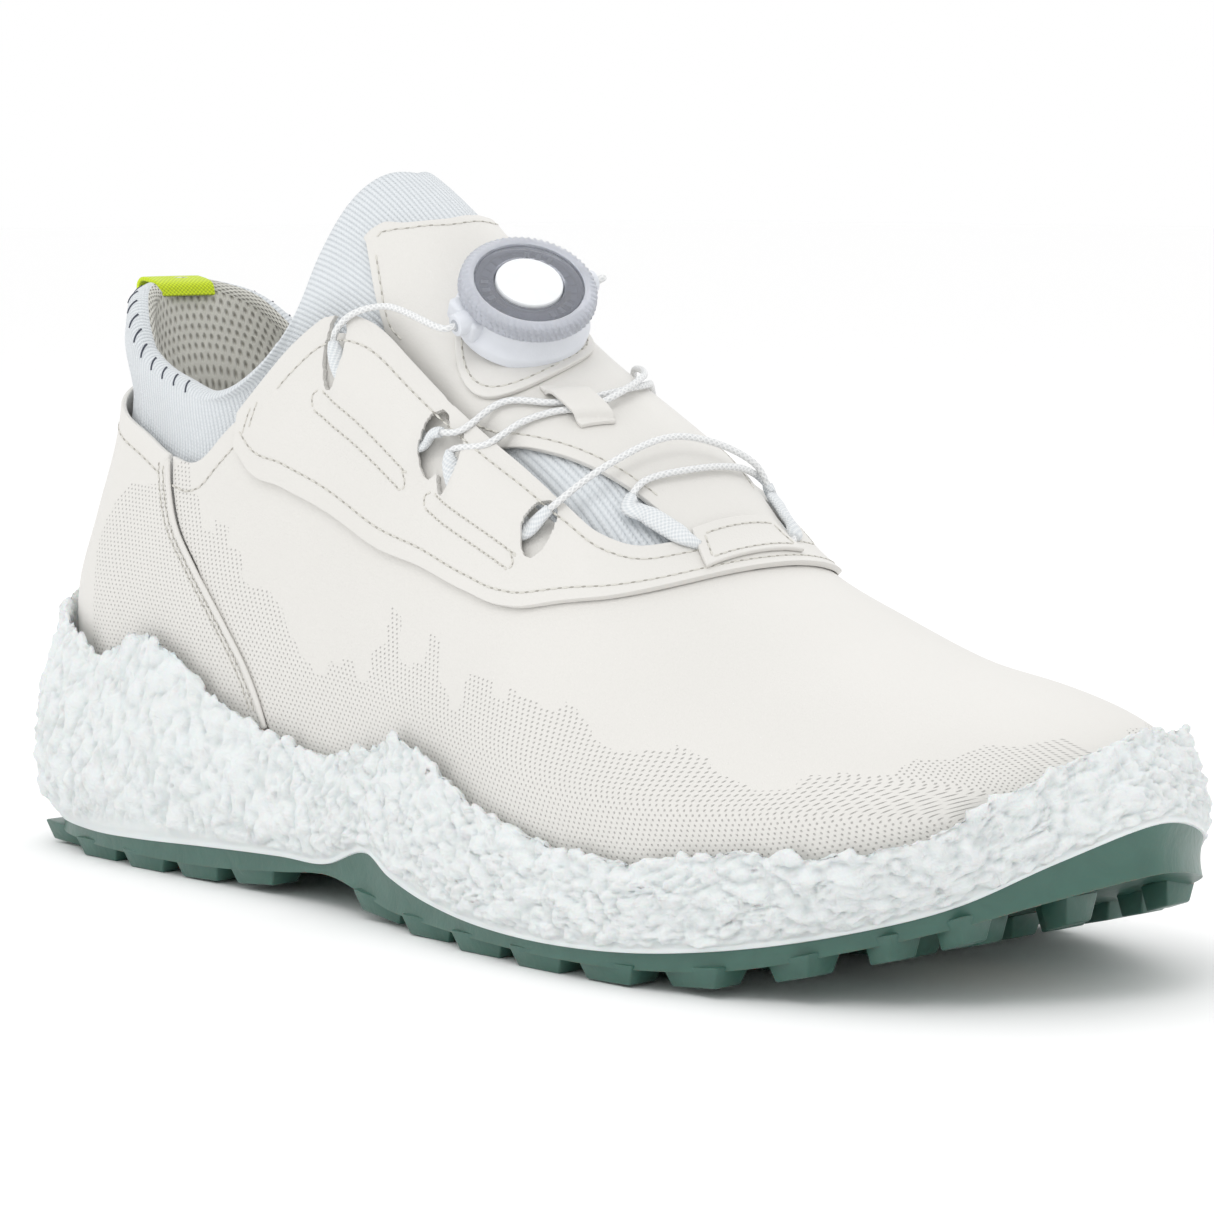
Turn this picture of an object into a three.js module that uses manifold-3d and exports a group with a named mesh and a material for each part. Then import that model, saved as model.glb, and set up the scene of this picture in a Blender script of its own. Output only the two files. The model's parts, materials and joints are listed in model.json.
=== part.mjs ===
// Low golf shoe with a ratchet-dial lacing system, right foot.
// Frame: millimetres, toe +X, up +Z, the outer (lateral) side -Y, the inner (medial) side +Y.
// Every soft layer is an offset of one last surface, addressed by a station and a height:
//   u  runs round the shoe, 0 at the back of the heel, negative along the lateral side,
//      positive along the medial side, and +-U_TIP at the tip of the toe
//   v  runs up the shoe, 0 at the feather line and 1 on the ridge of the instep
import * as THREE from 'three';
import Module from 'manifold-3d';

const wasm = await Module();
wasm.setup();

// ---------------------------------------------------------------- driving sizes, mm
const LAYER_GAP = 0.4;          // clearance between neighbouring layers
const LINER_GAP = 0.6;          // clearance on both sides of the stiffeners
const LEATHER = 1.2;            // thickness of the uppers' leather
const KNIT = 1.2;               // thickness of the knit bootie
const STIFFENER = 0.9;          // thickness of the heel counter and the toe puff
const PADDING = 3.0;            // thickness of the collar foam
const LINING = 0.8;             // thickness of the spacer-mesh lining
const BOARD = 1.6;              // thickness of the insole board
const SOCK = 4.0;               // thickness of the sock liner
const BOARD_LIFT = 0.6;         // height of the insole board over the feather line
const SOCK_LIFT = BOARD_LIFT + BOARD + 0.4; // height of the sock liner over the feather line
const SHANK_INSET = 21;         // distance of the shank plate's edge from the feather line
const FOAM_GAP = 0.8;           // clearance between the foam and the upper
const FOAM_LIP = 1.3;           // how far the foam's top edge stands off the leather
const PLATE = 2.2;              // thickness of the outsole between its lugs
const LUG_HEIGHT = 3.2;         // height of a lug below the outsole plate
const LUG_LENGTH = 15.0;        // length of a lug along the shoe
const LUG_TAPER = 0.76;         // size of a lug's tip, as a share of its root
const LUG_SPACE = 3.4;          // clear ground between two rows of lugs
const LUG_WIDTH = 9.0;          // width of a lug across the shoe
const LACE_RADIUS = 0.7;        // radius of the braided lace
const GUIDE_WALL = 0.5;         // wall of a webbing guide
const GUIDE_PLAY = 0.55;        // clearance of the lace in a guide
const OVERLAY_RISE = 3.9;       // lift of the facing overlays over the guides
const NOTCH = 5.0;              // opening in a facing overlay where a guide ends
const DIAL_X = -8.0;            // station of the dial along the shoe
const DIAL_SIDE = 0.095;        // how far the dial lies from the ridge to the lateral side, in v
const DIAL_RADIUS = 14.2;       // radius of the grip ring
const DIAL_HEIGHT = 9.0;        // height of the grip ring over the tongue
const DIAL_GAP = 0.3;           // clearance between the dial's pieces
const GRIP_TEETH = 36;          // ribs round the grip ring
const RATCHET_TEETH = 24;       // teeth inside the housing
const KEEPER_X = 14.3;          // station of the strap that keeps the crossing laces
const KEEPER_RISE = 4.7;        // height of the strap's arch
const TAB_WIDTH = 20.0;         // width of the pull tab
const TAB_THICKNESS = 0.9;      // thickness of the tab's webbing

// ---------------------------------------------------------------- the last surface
const HEEL_X = -108;            // axis about which the heel is swept
const HEEL_ARC = 50;            // length of u that one half of the heel takes
const TIP = { x: 144, y: 10, z: 30 };
const TOE_X = 100;              // station where the toe starts to close
const FEATHER_ANGLE = 25;       // degrees below the widest line where the upper turns under
const U_TIP = HEEL_ARC + TIP.x - HEEL_X;

// A smooth curve through [position, value] knots.
function spline(knots) {
  const n = knots.length;
  const slope = (i) => (knots[i + 1][1] - knots[i][1]) / (knots[i + 1][0] - knots[i][0]);
  const tangent = knots.map((k, i) => {
    if (i === 0) return slope(0);
    if (i === n - 1) return slope(n - 2);
    const before = k[0] - knots[i - 1][0];
    const after = knots[i + 1][0] - k[0];
    return (slope(i - 1) * after + slope(i) * before) / (before + after);
  });
  return (x) => {
    let i = 0;
    while (i < n - 2 && x >= knots[i + 1][0]) i += 1;
    const h = knots[i + 1][0] - knots[i][0];
    const t = (x - knots[i][0]) / h;
    const t2 = t * t;
    const t3 = t2 * t;
    return (2 * t3 - 3 * t2 + 1) * knots[i][1] + (t3 - 2 * t2 + t) * h * tangent[i]
      + (3 * t2 - 2 * t3) * knots[i + 1][1] + (t3 - t2) * h * tangent[i + 1];
  };
}

const last = {
  lateral: spline([[-108, 32], [-80, 34.5], [-50, 35.5], [-20, 38], [10, 44], [40, 50], [70, 52],
    [100, 48], [144, 44]]),
  medial: spline([[-108, 32], [-80, 33.5], [-50, 33], [-20, 34], [10, 40], [40, 46], [70, 49],
    [100, 46], [144, 40]]),
  ridgeY: spline([[-108, 0], [-50, 0], [0, 2], [40, 4], [70, 6], [100, 9], [144, 10]]),
  ridgeZ: spline([[-108, 150], [-80, 153], [-50, 151], [-33, 141], [-8, 119], [30, 93.7],
    [50, 76], [70, 66], [90, 58.5], [110, 55], [144, 52]]),
  widestZ: spline([[-108, 36], [-50, 34], [0, 30], [60, 27], [100, 29], [144, 34]]),
  featherZ: spline([[-108, 22], [-50, 20], [0, 17], [60, 13], [100, 16], [144, 24]]),
  fullness: spline([[-108, 2.2], [-60, 2.2], [-30, 2.0], [40, 2.0], [80, 2.2], [144, 2.4]]),
  back: spline([[15, 33], [40, 37], [58, 37.5], [75, 28], [95, 17.5], [112, 21], [130, 24]]),
};

const radians = (degrees) => (degrees * Math.PI) / 180;
const clamp = (x, low, high) => Math.min(Math.max(x, low), high);
const ease = (x) => {
  const t = clamp(x, 0, 1);
  return t * t * (3 - 2 * t);
};
const stationX = (u) => (Math.abs(u) > HEEL_ARC ? HEEL_X + Math.abs(u) - HEEL_ARC : HEEL_X);
const stationU = (x, side) => side * (x - HEEL_X + HEEL_ARC);

// A point of the last surface.
function base(u, v) {
  const side = u < 0 ? -1 : 1;
  const x = Math.min(stationX(u), TIP.x);
  const reach = clamp((x - TOE_X) / (TIP.x - TOE_X), 0, 1);
  const close = (1 - reach ** 2.6) ** (1 / 2.2);
  const toTip = (z) => TIP.z + (z - TIP.z) * close;
  const half = side < 0 ? last.lateral(x) : last.medial(x);
  const top = toTip(last.ridgeZ(x));
  const widest = toTip(last.widestZ(x));
  const feather = toTip(last.featherZ(x));
  const power = 2 / last.fullness(x);
  const angle = radians(-FEATHER_ANGLE + v * (90 + FEATHER_ANGLE));
  const across = Math.max(Math.cos(angle), 0) ** power;
  const y = last.ridgeY(x) * (1 - across + across * reach ** 2) + side * half * across * close;
  const z = angle > 0
    ? widest + (top - widest) * Math.sin(angle) ** power
    : widest + ((widest - feather) * Math.sin(angle)) / Math.sin(radians(FEATHER_ANGLE));
  if (Math.abs(u) >= HEEL_ARC) return new THREE.Vector3(x, y, z);
  const turn = radians(90 * (1 - Math.abs(u) / HEEL_ARC));
  const c = Math.max(Math.cos(turn), 1e-9) / Math.max(Math.abs(y), 1e-3);
  const s = Math.sin(turn) / last.back(z);
  const r = 1 / (c ** 2.15 + s ** 2.15) ** (1 / 2.15);
  return new THREE.Vector3(HEEL_X - r * Math.sin(turn), side * r * Math.cos(turn), z);
}

// The outward normal of the last surface.
function normal(u, v) {
  const along = base(u + 0.2, v).sub(base(u - 0.2, v));
  const up = base(u, Math.min(v + 0.02, 1)).sub(base(u, Math.max(v - 0.02, 0)));
  return up.cross(along).normalize();
}

const at = (u, v, offset) => base(u, v).addScaledVector(normal(u, v), offset);

// ---------------------------------------------------------------- meshes
const range = (n) => Array.from({ length: n }, (_, i) => i);
const mix = (a, b, t) => a + (b - a) * t;
const steps = (from, to, n) => range(n + 1).map((i) => mix(from, to, i / n));

function geometryOf(points, faces) {
  const geometry = new THREE.BufferGeometry();
  geometry.setAttribute('position', new THREE.Float32BufferAttribute(points.flat(), 3));
  geometry.setIndex(faces.flat());
  return geometry;
}

function signedVolume(points, faces) {
  return faces.reduce((sum, [a, b, c]) => {
    const [p, q, r] = [points[a], points[b], points[c]];
    return sum + (p[0] * (q[1] * r[2] - q[2] * r[1]) + p[1] * (q[2] * r[0] - q[0] * r[2])
      + p[2] * (q[0] * r[1] - q[1] * r[0])) / 6;
  }, 0);
}

// Merges shared corners, drops flat faces and turns the faces outward.
function closedBody(points, faces) {
  const seen = new Map();
  const kept = [];
  const slot = points.map((p) => {
    const key = p.map((c) => Math.round(c * 2000)).join(' ');
    if (!seen.has(key)) {
      seen.set(key, kept.length);
      kept.push(p);
    }
    return seen.get(key);
  });
  const solid = faces.map((f) => f.map((i) => slot[i]))
    .filter(([a, b, c]) => a !== b && b !== c && c !== a);
  if (signedVolume(kept, solid) < 0) solid.forEach((f) => f.reverse());
  return geometryOf(kept, solid);
}

// A sheet of even or varying thickness over one or more grids of [u, v] stations.
function sheet(grids, outer, inner) {
  const seen = new Map();
  const nodes = [];
  const faces = [];
  const nodeOf = ([u, v]) => {
    const p = base(u, v);
    const key = p.toArray().map((c) => Math.round(c * 50)).join(' ');
    if (!seen.has(key)) {
      seen.set(key, nodes.length);
      nodes.push({ p, n: new THREE.Vector3(), u, v });
    }
    nodes[seen.get(key)].n.add(normal(u, v));
    return seen.get(key);
  };
  grids.forEach((grid) => {
    const ids = grid.map((row) => row.map(nodeOf));
    for (let i = 0; i + 1 < ids.length; i += 1) {
      for (let j = 0; j + 1 < ids[i].length; j += 1) {
        const [a, b, c, d] = [ids[i][j], ids[i + 1][j], ids[i + 1][j + 1], ids[i][j + 1]];
        faces.push([a, b, c], [a, c, d]);
      }
    }
  });
  const real = faces.filter(([a, b, c]) => a !== b && b !== c && c !== a);
  real.forEach((f) => {
    const [a, b, c] = f.map((i) => nodes[i]);
    const facing = b.p.clone().sub(a.p).cross(c.p.clone().sub(a.p));
    if (facing.dot(a.n.clone().add(b.n).add(c.n)) < 0) f.reverse();
  });
  return thicken(nodes, real, outer, inner);
}

// Closes an open sheet of nodes between its outer and its inner offset.
function thicken(nodes, faces, outer, inner) {
  const offset = (depth) => nodes.map(({ p, n, u, v }) => p.clone()
    .addScaledVector(n.clone().normalize(), typeof depth === 'function' ? depth(u, v) : depth)
    .toArray());
  return between(offset(outer), offset(inner), faces);
}

// Closes the space between two matching layers of points that share their faces.
function between(upper, lower, faces) {
  const count = upper.length;
  const edges = new Map();
  faces.forEach(([a, b, c]) => [[a, b], [b, c], [c, a]].forEach(([s, e]) => {
    if (edges.has(`${e} ${s}`)) edges.delete(`${e} ${s}`);
    else edges.set(`${s} ${e}`, [s, e]);
  }));
  const walls = [...edges.values()].flatMap(([s, e]) => [
    [s, s + count, e + count], [s, e + count, e]]);
  const under = faces.map(([a, b, c]) => [a + count, c + count, b + count]);
  return closedBody([...upper, ...lower], [...faces, ...under, ...walls]);
}

// A grid of stations between two edge heights, over a list of u values.
const band = (us, low, high, rows) => us.map((u) => {
  const from = typeof low === 'function' ? low(u) : low;
  const to = typeof high === 'function' ? high(u) : high;
  return steps(from, to, rows).map((v) => [u, v]);
});

// A grid that crosses the ridge, over a list of x stations, down to the height low on both sides.
const arch = (xs, low, rows) => xs.map((x) => {
  const edge = (side) => (typeof low === 'function' ? low(stationU(x, side)) : low);
  const lateral = steps(edge(-1), 1, rows).map((v) => [stationU(x, -1), v]);
  const medial = steps(1, edge(1), rows).map((v) => [stationU(x, 1), v]);
  return [...lateral, ...medial.slice(1)];
});

// Body between stacked rings of equal length; the two end rings are closed across, side to side.
function stack(rings) {
  const n = rings[0].length;
  const points = rings.flat();
  const faces = [];
  for (let k = 0; k + 1 < rings.length; k += 1) {
    for (let i = 0; i < n; i += 1) {
      const j = (i + 1) % n;
      const [a, b, c, d] = [k * n + i, k * n + j, (k + 1) * n + j, (k + 1) * n + i];
      faces.push([a, b, c], [a, c, d]);
    }
  }
  const ladder = (first, flip) => {
    for (let i = 0; i < n / 2; i += 1) {
      const [a, b, c, d] = [i, i + 1, n - i - 1, (n - i) % n].map((k) => first + k);
      [[a, b, c], [a, c, d]].forEach((f) => faces.push(flip ? f.reverse() : f));
    }
  };
  ladder(0, true);
  ladder((rings.length - 1) * n, false);
  return closedBody(points, faces);
}

function solidOf(geometry) {
  const position = geometry.getAttribute('position').array;
  const index = geometry.getIndex().array;
  return new wasm.Manifold(new wasm.Mesh({
    numProp: 3,
    vertProperties: new Float32Array(position),
    triVerts: new Uint32Array(index),
  }));
}

function geometryFrom(solid) {
  const mesh = solid.getMesh();
  const geometry = new THREE.BufferGeometry();
  geometry.setAttribute('position', new THREE.BufferAttribute(mesh.vertProperties, 3));
  geometry.setIndex(new THREE.BufferAttribute(mesh.triVerts, 1));
  return geometry;
}

// A six-sided block from its lower and its upper corners.
function block(lower, upper) {
  const faces = [[0, 2, 1], [0, 3, 2], [4, 5, 6], [4, 6, 7]];
  range(4).forEach((i) => {
    const j = (i + 1) % 4;
    faces.push([i, j, j + 4], [i, j + 4, i + 4]);
  });
  return closedBody([...lower, ...upper], faces);
}

// A tube along a list of points, with an optional bore.
function tube(points, radius, sides, segments, bore = 0) {
  const section = (r) => range(sides).map((i) => {
    const a = (2 * Math.PI * i) / sides;
    return new THREE.Vector2(r * Math.cos(a), r * Math.sin(a));
  });
  const shape = new THREE.Shape(section(radius));
  if (bore > 0) shape.holes.push(new THREE.Path(section(bore)));
  const path = new THREE.CatmullRomCurve3(points, false, 'centripetal');
  return indexed(new THREE.ExtrudeGeometry(shape, {
    steps: segments, bevelEnabled: false, extrudePath: path,
  }));
}

// Rebuilds a three.js geometry as one closed, indexed body.
function indexed(geometry) {
  const array = geometry.getAttribute('position').array;
  const points = range(array.length / 3).map((i) => Array.from(array.slice(3 * i, 3 * i + 3)));
  const source = geometry.getIndex();
  const order = source ? Array.from(source.array) : range(points.length);
  const faces = range(order.length / 3).map((i) => order.slice(3 * i, 3 * i + 3));
  return closedBody(points, faces);
}

const lathe = (profile, sides) => indexed(new THREE.LatheGeometry(
  profile.map(([r, z]) => new THREE.Vector2(r, z)), sides,
).rotateX(Math.PI / 2));

// ---------------------------------------------------------------- the sole
// Stations round the sole from the back of the heel, up the lateral side, to the medial side:
// plan x and y, lug tip height, rim height, then the upper's u and v that the foam's edge
// reaches, and how far the foam's wall bulges.
const SOLE_ROWS = [
  [-145.5, 0, 3.5, 7.5, 0, 0.30, 6.5],
  [-141.5, -17, 2, 7, -15, 0.285, 6.5],
  [-132, -31, 0.5, 6.5, -32, 0.27, 6],
  [-112, -37.5, 0, 6.2, -47, 0.25, 4],
  [-92, -39.5, 0, 6.8, -66, 0.272, 3],
  [-68, -40, 0.5, 8, -90, 0.232, 2.5],
  [-44, -40.5, 2.5, 9, -114, 0.212, 2],
  [-28, -41.5, 4, 8, -130, 0.21, 2],
  [-13, -44, 2, 14, -148, 0.245, 1.5],
  [-2, -46.5, 0.5, 10.5, -156, 0.272, 1.5],
  [12, -49, 0, 7.5, -170, 0.255, 2],
  [32, -53, 0, 6, -189, 0.215, 2],
  [54, -55, 0, 5.8, -213, 0.18, 1.5],
  [76, -54, 0.6, 7, -234, 0.17, 1.5],
  [96, -48.5, 2.6, 9.6, -254, 0.2, 1.5],
  [114, -39.5, 7, 13.5, -272, 0.19, 1.5],
  [130, -27.5, 12, 19, -286, 0.22, 1.2],
  [142, -13, 17, 27, -294.5, 0.5, 1.2],
  [150, 6, 20.5, 33, -295.5, 0.97, 1],
  [143, 27, 17, 28, 290, 0.62, 1],
  [130, 38.5, 12, 20, 284, 0.4, 1.2],
  [114, 46, 7, 13.5, 271, 0.28, 1.5],
  [96, 51, 2.6, 9.6, 254, 0.24, 1.5],
  [76, 53, 0.6, 7, 234, 0.22, 1.5],
  [54, 51, 0, 6, 212, 0.23, 1.5],
  [32, 46, 0, 6, 190, 0.25, 2],
  [12, 40, 0, 7.5, 170, 0.27, 2],
  [-2, 36.5, 0.5, 10, 156, 0.27, 2],
  [-13, 34.5, 2, 12.5, 145, 0.26, 2],
  [-28, 33.5, 4, 9, 130, 0.24, 2],
  [-44, 34, 2.5, 9, 114, 0.235, 2],
  [-68, 36, 0.5, 8, 90, 0.25, 2.5],
  [-92, 37.5, 0, 6.8, 66, 0.272, 3.5],
  [-112, 36.5, 0, 6.2, 47, 0.255, 4],
  [-132, 29.5, 0.5, 6.5, 32, 0.27, 6],
  [-141.5, 17, 2, 7, 15, 0.285, 6.5],
];
const SOLE_COUNT = 2 * SOLE_ROWS.length;

// A station halfway between two rows; over the toe the foam's edge is blended across the ridge.
function halfway(i) {
  const rows = [i - 1, i, i + 1, i + 2].map(
    (j) => SOLE_ROWS[(j + SOLE_ROWS.length) % SOLE_ROWS.length]);
  const blend = (value) => {
    const [a, b, c, d] = rows.map(value);
    return (9 * (b + c) - a - d) / 16;
  };
  const row = rows[0].map((_, f) => blend((s) => s[f]));
  row[2] = Math.max(row[2], 0);
  if (rows.every((s) => Math.abs(s[4]) > 200)) {
    const across = blend((s) => Math.sign(s[4]) * (1 - s[5]));
    row[4] = Math.sign(across) * blend((s) => Math.abs(s[4]));
    row[5] = 1 - Math.abs(across);
  }
  return row;
}
const SOLE = range(SOLE_COUNT).map(
  (k) => (k % 2 ? halfway(Math.floor(k / 2)) : SOLE_ROWS[k / 2]));
const soleY = SOLE.map((s, i) => (s[1] + SOLE[(SOLE_COUNT - i) % SOLE_COUNT][1]) / 2);

// A ring of the sole: each station moved outward in plan by grow, at the height z(station, i).
function soleRing(grow, z) {
  return SOLE.map((s, i) => {
    const before = SOLE[(i + SOLE_COUNT - 1) % SOLE_COUNT];
    const after = SOLE[(i + 1) % SOLE_COUNT];
    const out = new THREE.Vector2(after[1] - before[1], before[0] - after[0]).normalize();
    return [s[0] + out.x * grow, s[1] + out.y * grow, z(s, i)];
  });
}

const RIM_INSET = 6;            // width of the outsole's raised rim
const seatZ = (s) => s[2] + LUG_HEIGHT + PLATE;
const foamRim = (s) => Math.max(s[3], seatZ(s));

// The foam's wall, from its rim to its upper edge against the leather.
function foamRing(t) {
  const rim = soleRing(0, foamRim);
  return SOLE.map((s, i) => {
    const edge = at(s[4], s[5], hollowGap(s) + FOAM_LIP);
    const lower = new THREE.Vector3(...rim[i]);
    const swell = s[6] * Math.sin(Math.PI * Math.min(t, 1) ** 0.75);
    const p = lower.clone().lerp(edge, t ** 1.25);
    p.z = mix(lower.z, edge.z, t);
    const out = new THREE.Vector3(lower.x, lower.y, 0).sub(new THREE.Vector3(
      clamp(lower.x, -105, 95), soleY[i], 0)).normalize();
    return p.addScaledVector(out, swell).toArray();
  });
}

// The hollow of the foam, which follows the upper at a gap that opens towards the toe.
const hollowGap = (s) => FOAM_GAP + 1.4 * ease((s[0] - 95) / 40);
const hollowRing = (share) => SOLE.map((s) => {
  const toe = ease((Math.abs(s[4]) - 286) / 8) * 4.5 * (1 - share ** 4);
  return at(s[4] + Math.sign(s[4]) * toe, s[5] * share, hollowGap(s)).toArray();
});

function midsole() {
  const underside = soleRing(-RIM_INSET, seatZ);
  const walls = [0, 0.25, 0.5, 0.75, 1].map(foamRing);
  const hollow = [1, 0.6, 0.3, 0].map(hollowRing);
  const floor = SOLE.map((s) => {
    const p = at(s[4], 0, -1);
    p.z -= FOAM_GAP;
    return p.toArray();
  });
  const foam = solidOf(stack([underside, ...walls, ...hollow, floor]));
  return geometryFrom(foam.subtract(solidOf(shankPlate(LAYER_GAP))));
}

function outsole() {
  const drop = LAYER_GAP + 0.1;
  const top = soleRing(-RIM_INSET, (s) => seatZ(s) - drop);
  const rimTop = soleRing(0, (s) => foamRim(s) - drop);
  const rimLow = soleRing(0.2, (s) => Math.min(s[2] + LUG_HEIGHT, foamRim(s) - drop - 1.5));
  const under = soleRing(-RIM_INSET, (s) => s[2] + LUG_HEIGHT - 0.2);
  let body = solidOf(stack([top, rimTop, rimLow, under]));
  lugs().forEach((lug) => {
    body = body.add(solidOf(lug));
  });
  return geometryFrom(body);
}

// The sole's plan at a station x: its two edges and its lug tip height.
const half = Math.floor(SOLE_COUNT / 2);
const lateralRim = SOLE.slice(0, half + 1);
const medialRim = [SOLE[0], ...SOLE.slice(half).reverse()];
const crossing = (rim, x, field) => {
  const sorted = [...rim].sort((p, q) => p[0] - q[0]);
  const i = clamp(sorted.findIndex((s) => s[0] > x), 1, sorted.length - 1);
  const [p, q] = [sorted[i - 1], sorted[i]];
  return mix(p[field], q[field], (x - p[0]) / (q[0] - p[0]));
};

// Tapered lugs in rows across the heel and the forefoot, none in the arch's hollow.
const LUG_ROWS = [-130, -111, -92, -73, -54, -8, 11, 30, 49, 68, 87, 105, 119, 129];
function lugs() {
  return LUG_ROWS.flatMap((x, i) => {
    const edges = [crossing(lateralRim, x, 1) + LUG_WIDTH * 0.55,
      crossing(medialRim, x, 1) - LUG_WIDTH * 0.55];
    const count = Math.max(2, Math.round((edges[1] - edges[0]) / (LUG_WIDTH * 2.7)) + 1);
    const room = Math.min(...[i - 1, i + 1].filter((k) => k in LUG_ROWS)
      .map((k) => Math.abs(LUG_ROWS[k] - x)));
    const length = Math.min(LUG_LENGTH, room - LUG_SPACE);
    return steps(edges[0], edges[1], count - 1).map((y) => lug(x, y, length));
  });
}

function lug(x, y, length) {
  const tip = (px) => crossing(lateralRim, px, 2);
  const corners = (share, z) => [[-1, -1], [1, -1], [1, 1], [-1, 1]].map(([i, j]) => {
    const px = x + (i * share * length) / 2;
    return [px, y + (j * share * LUG_WIDTH) / 2, tip(px) + z];
  });
  const root = LUG_HEIGHT + PLATE * (0.4 + 0.5 * ease((x - 100) / 25));
  return block(corners(LUG_TAPER, 0), corners(1, root));
}

// A flat plate inside the shoe that follows the feather line, drawn in by inset.
function floorPlate(inset, low, high, fromX, toX) {
  const us = [...steps(stationU(fromX, -1), stationU(toX, -1), 16)];
  const whole = fromX <= HEEL_X;
  const heel = whole ? [0, -12, -25, -38] : [];
  const lateral = [...heel, ...us];
  const medial = [...lateral].reverse().filter((u) => u !== 0).map((u) => -u);
  const ring = (z) => [...lateral, ...medial].map((u) => {
    const p = base(u, 0);
    const n = normal(u, 0.15).setZ(0).normalize();
    return [p.x - n.x * inset, p.y - n.y * inset, p.z + z];
  });
  return stack([ring(low), ring(high)]);
}

// ---------------------------------------------------------------- edges of the upper's panels
// Height v of the leather's upper edge: the collar line, then the throat's edge.
const leatherEdge = spline([[0, 0.53], [40, 0.49], [55, 0.46], [66, 0.435], [78, 0.43], [86, 0.46],
  [96, 0.50], [106, 0.56], [114, 0.61], [124, 0.64], [154, 0.665], [190, 0.68], [204, 0.72],
  [214, 0.80]]);
// Height v of the collar's rim, which climbs into the tongue at its front.
const collarRim = spline([[0, 0.63], [30, 0.61], [43, 0.57], [54, 0.53], [66, 0.505], [78, 0.49],
  [90, 0.51], [98, 0.55], [103, 0.60], [106, 0.70], [108.5, 0.83], [111, 0.94], [113, 1.0]]);
const U_TONGUE = 113;           // station where the collar meets the tongue's top edge
const THROAT_X = 55;            // front end of the throat
const TOE_END = 139;            // where the vamp ends under the foam
const SEAM_TOP = 0.44;          // height v where the heel seam meets the collar line
const seamCurve = spline([[0.0, 108], [0.20, 106], [0.25, 98], [0.29, 88], [0.33, 78],
  [0.36, 71.5], [0.40, 67.5], [SEAM_TOP, 66]]);
const seamU = (v) => seamCurve(clamp(v, 0, SEAM_TOP));
const edgeAt = (u) => leatherEdge(Math.abs(u));
const rimAt = (u) => collarRim(Math.abs(u));

// Stations between the heel seam and the rest of a quarter, at a height v.
function quarterGrid(side, columns, rows) {
  return range(columns + 1).map((i) => range(rows + 1).map((j) => {
    const share = j / rows;
    const front = stationU(THROAT_X, 1);
    let v = edgeAt(seamU(SEAM_TOP)) * share;
    let u = 0;
    for (let k = 0; k < 4; k += 1) {
      u = mix(seamU(v) + 1.3, front, i / columns);
      v = edgeAt(u) * share;
    }
    return [side * u, v];
  }));
}

function upperGrids() {
  const rows = 6;
  const edge = edgeAt(stationU(THROAT_X, 1));
  const tips = [0, 0.12, 0.26, 0.42, 0.58, 0.72, 0.84, 0.93, 1].map(
    (t) => mix(THROAT_X, TOE_END, t));
  const front = tips.map((x) => {
    const side = (s) => steps(0, edge, rows).map((v) => [stationU(x, s), v]);
    const middle = steps(edge, 1, 4).slice(1).map((v) => [stationU(x, -1), v]);
    const back = steps(1, edge, 4).slice(1, -1).map((v) => [stationU(x, 1), v]);
    return [...side(-1), ...middle, ...back, ...side(1).reverse()];
  });
  return [front, quarterGrid(-1, 13, rows), quarterGrid(1, 13, rows)];
}

const vampQuarter = () => sheet(upperGrids(), 0, -LEATHER);

function heelGrid() {
  const rows = 7;
  const columns = 24;
  const grid = range(columns + 1).map((i) => range(rows + 1).map((j) => {
    const share = j / rows;
    let v = edgeAt(66) * share;
    let u = 0;
    for (let k = 0; k < 4; k += 1) {
      u = mix(-1, 1, i / columns) * (seamU(v) - 0.3);
      v = edgeAt(u) * share;
    }
    return [u, v];
  }));
  return grid;
}

const heelPanel = () => sheet([heelGrid()], 0, -LEATHER);

// A thin cord of leather folded into the heel seam.
function seamPiping(side) {
  const points = steps(0.27, 0.42, 8).map((v) => at(side * (seamU(v) + 0.2), v, 0.95));
  return tube(points, 0.5, 6, 8);
}

const CLOSURE_OUT = LAYER_GAP + LEATHER;
const facingLow = spline([[90, 0.44], [108, 0.43], [138, 0.45], [170, 0.49], [184, 0.51],
  [196, 0.58], [206, 0.69]]);

function facingOverlay(side) {
  const us = steps(91, 205, 19).map((u) => side * u);
  const low = (u) => Math.min(facingLow(Math.abs(u)), edgeAt(u) - 0.04);
  const high = (u) => edgeAt(u) - 0.004;
  const lift = (u, v) => {
    const span = high(u) - low(u);
    return OVERLAY_RISE * ease((v - low(u)) / (span * 0.55)) * ease((Math.abs(u) - 98) / 14);
  };
  const body = sheet([band(us, low, high, 5)],
    (u, v) => CLOSURE_OUT + lift(u, v), (u, v) => LAYER_GAP + lift(u, v));
  return geometryFrom(guideEnds(side).reduce(
    (solid, end) => solid.subtract(solidOf(end)), solidOf(body)));
}

function throatPatch() {
  const xs = steps(THROAT_X + 0.6, THROAT_X + 15, 4);
  const low = (u) => 0.80 + 0.13 * ease((stationX(u) - THROAT_X) / 15);
  return sheet([arch(xs, low, 4)], CLOSURE_OUT, LAYER_GAP);
}

// ---------------------------------------------------------------- layers inside the leather
const UNDER_LEATHER = -LEATHER - LINER_GAP;
const KNIT_IN = UNDER_LEATHER - STIFFENER - 2 * LINER_GAP;

function heelCounter() {
  const us = steps(-88, 88, 24);
  return sheet([band(us, 0.04, (u) => 0.26 - 0.04 * ease((Math.abs(u) - 45) / 43), 3)],
    UNDER_LEATHER - 0.5, UNDER_LEATHER - 0.5 - STIFFENER);
}

function toePuff() {
  const xs = [104, 112, 120, 128, 133, 136.5];
  return sheet([arch(xs, 0.3, 5)], UNDER_LEATHER - 0.3, UNDER_LEATHER - 0.3 - STIFFENER);
}

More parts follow.
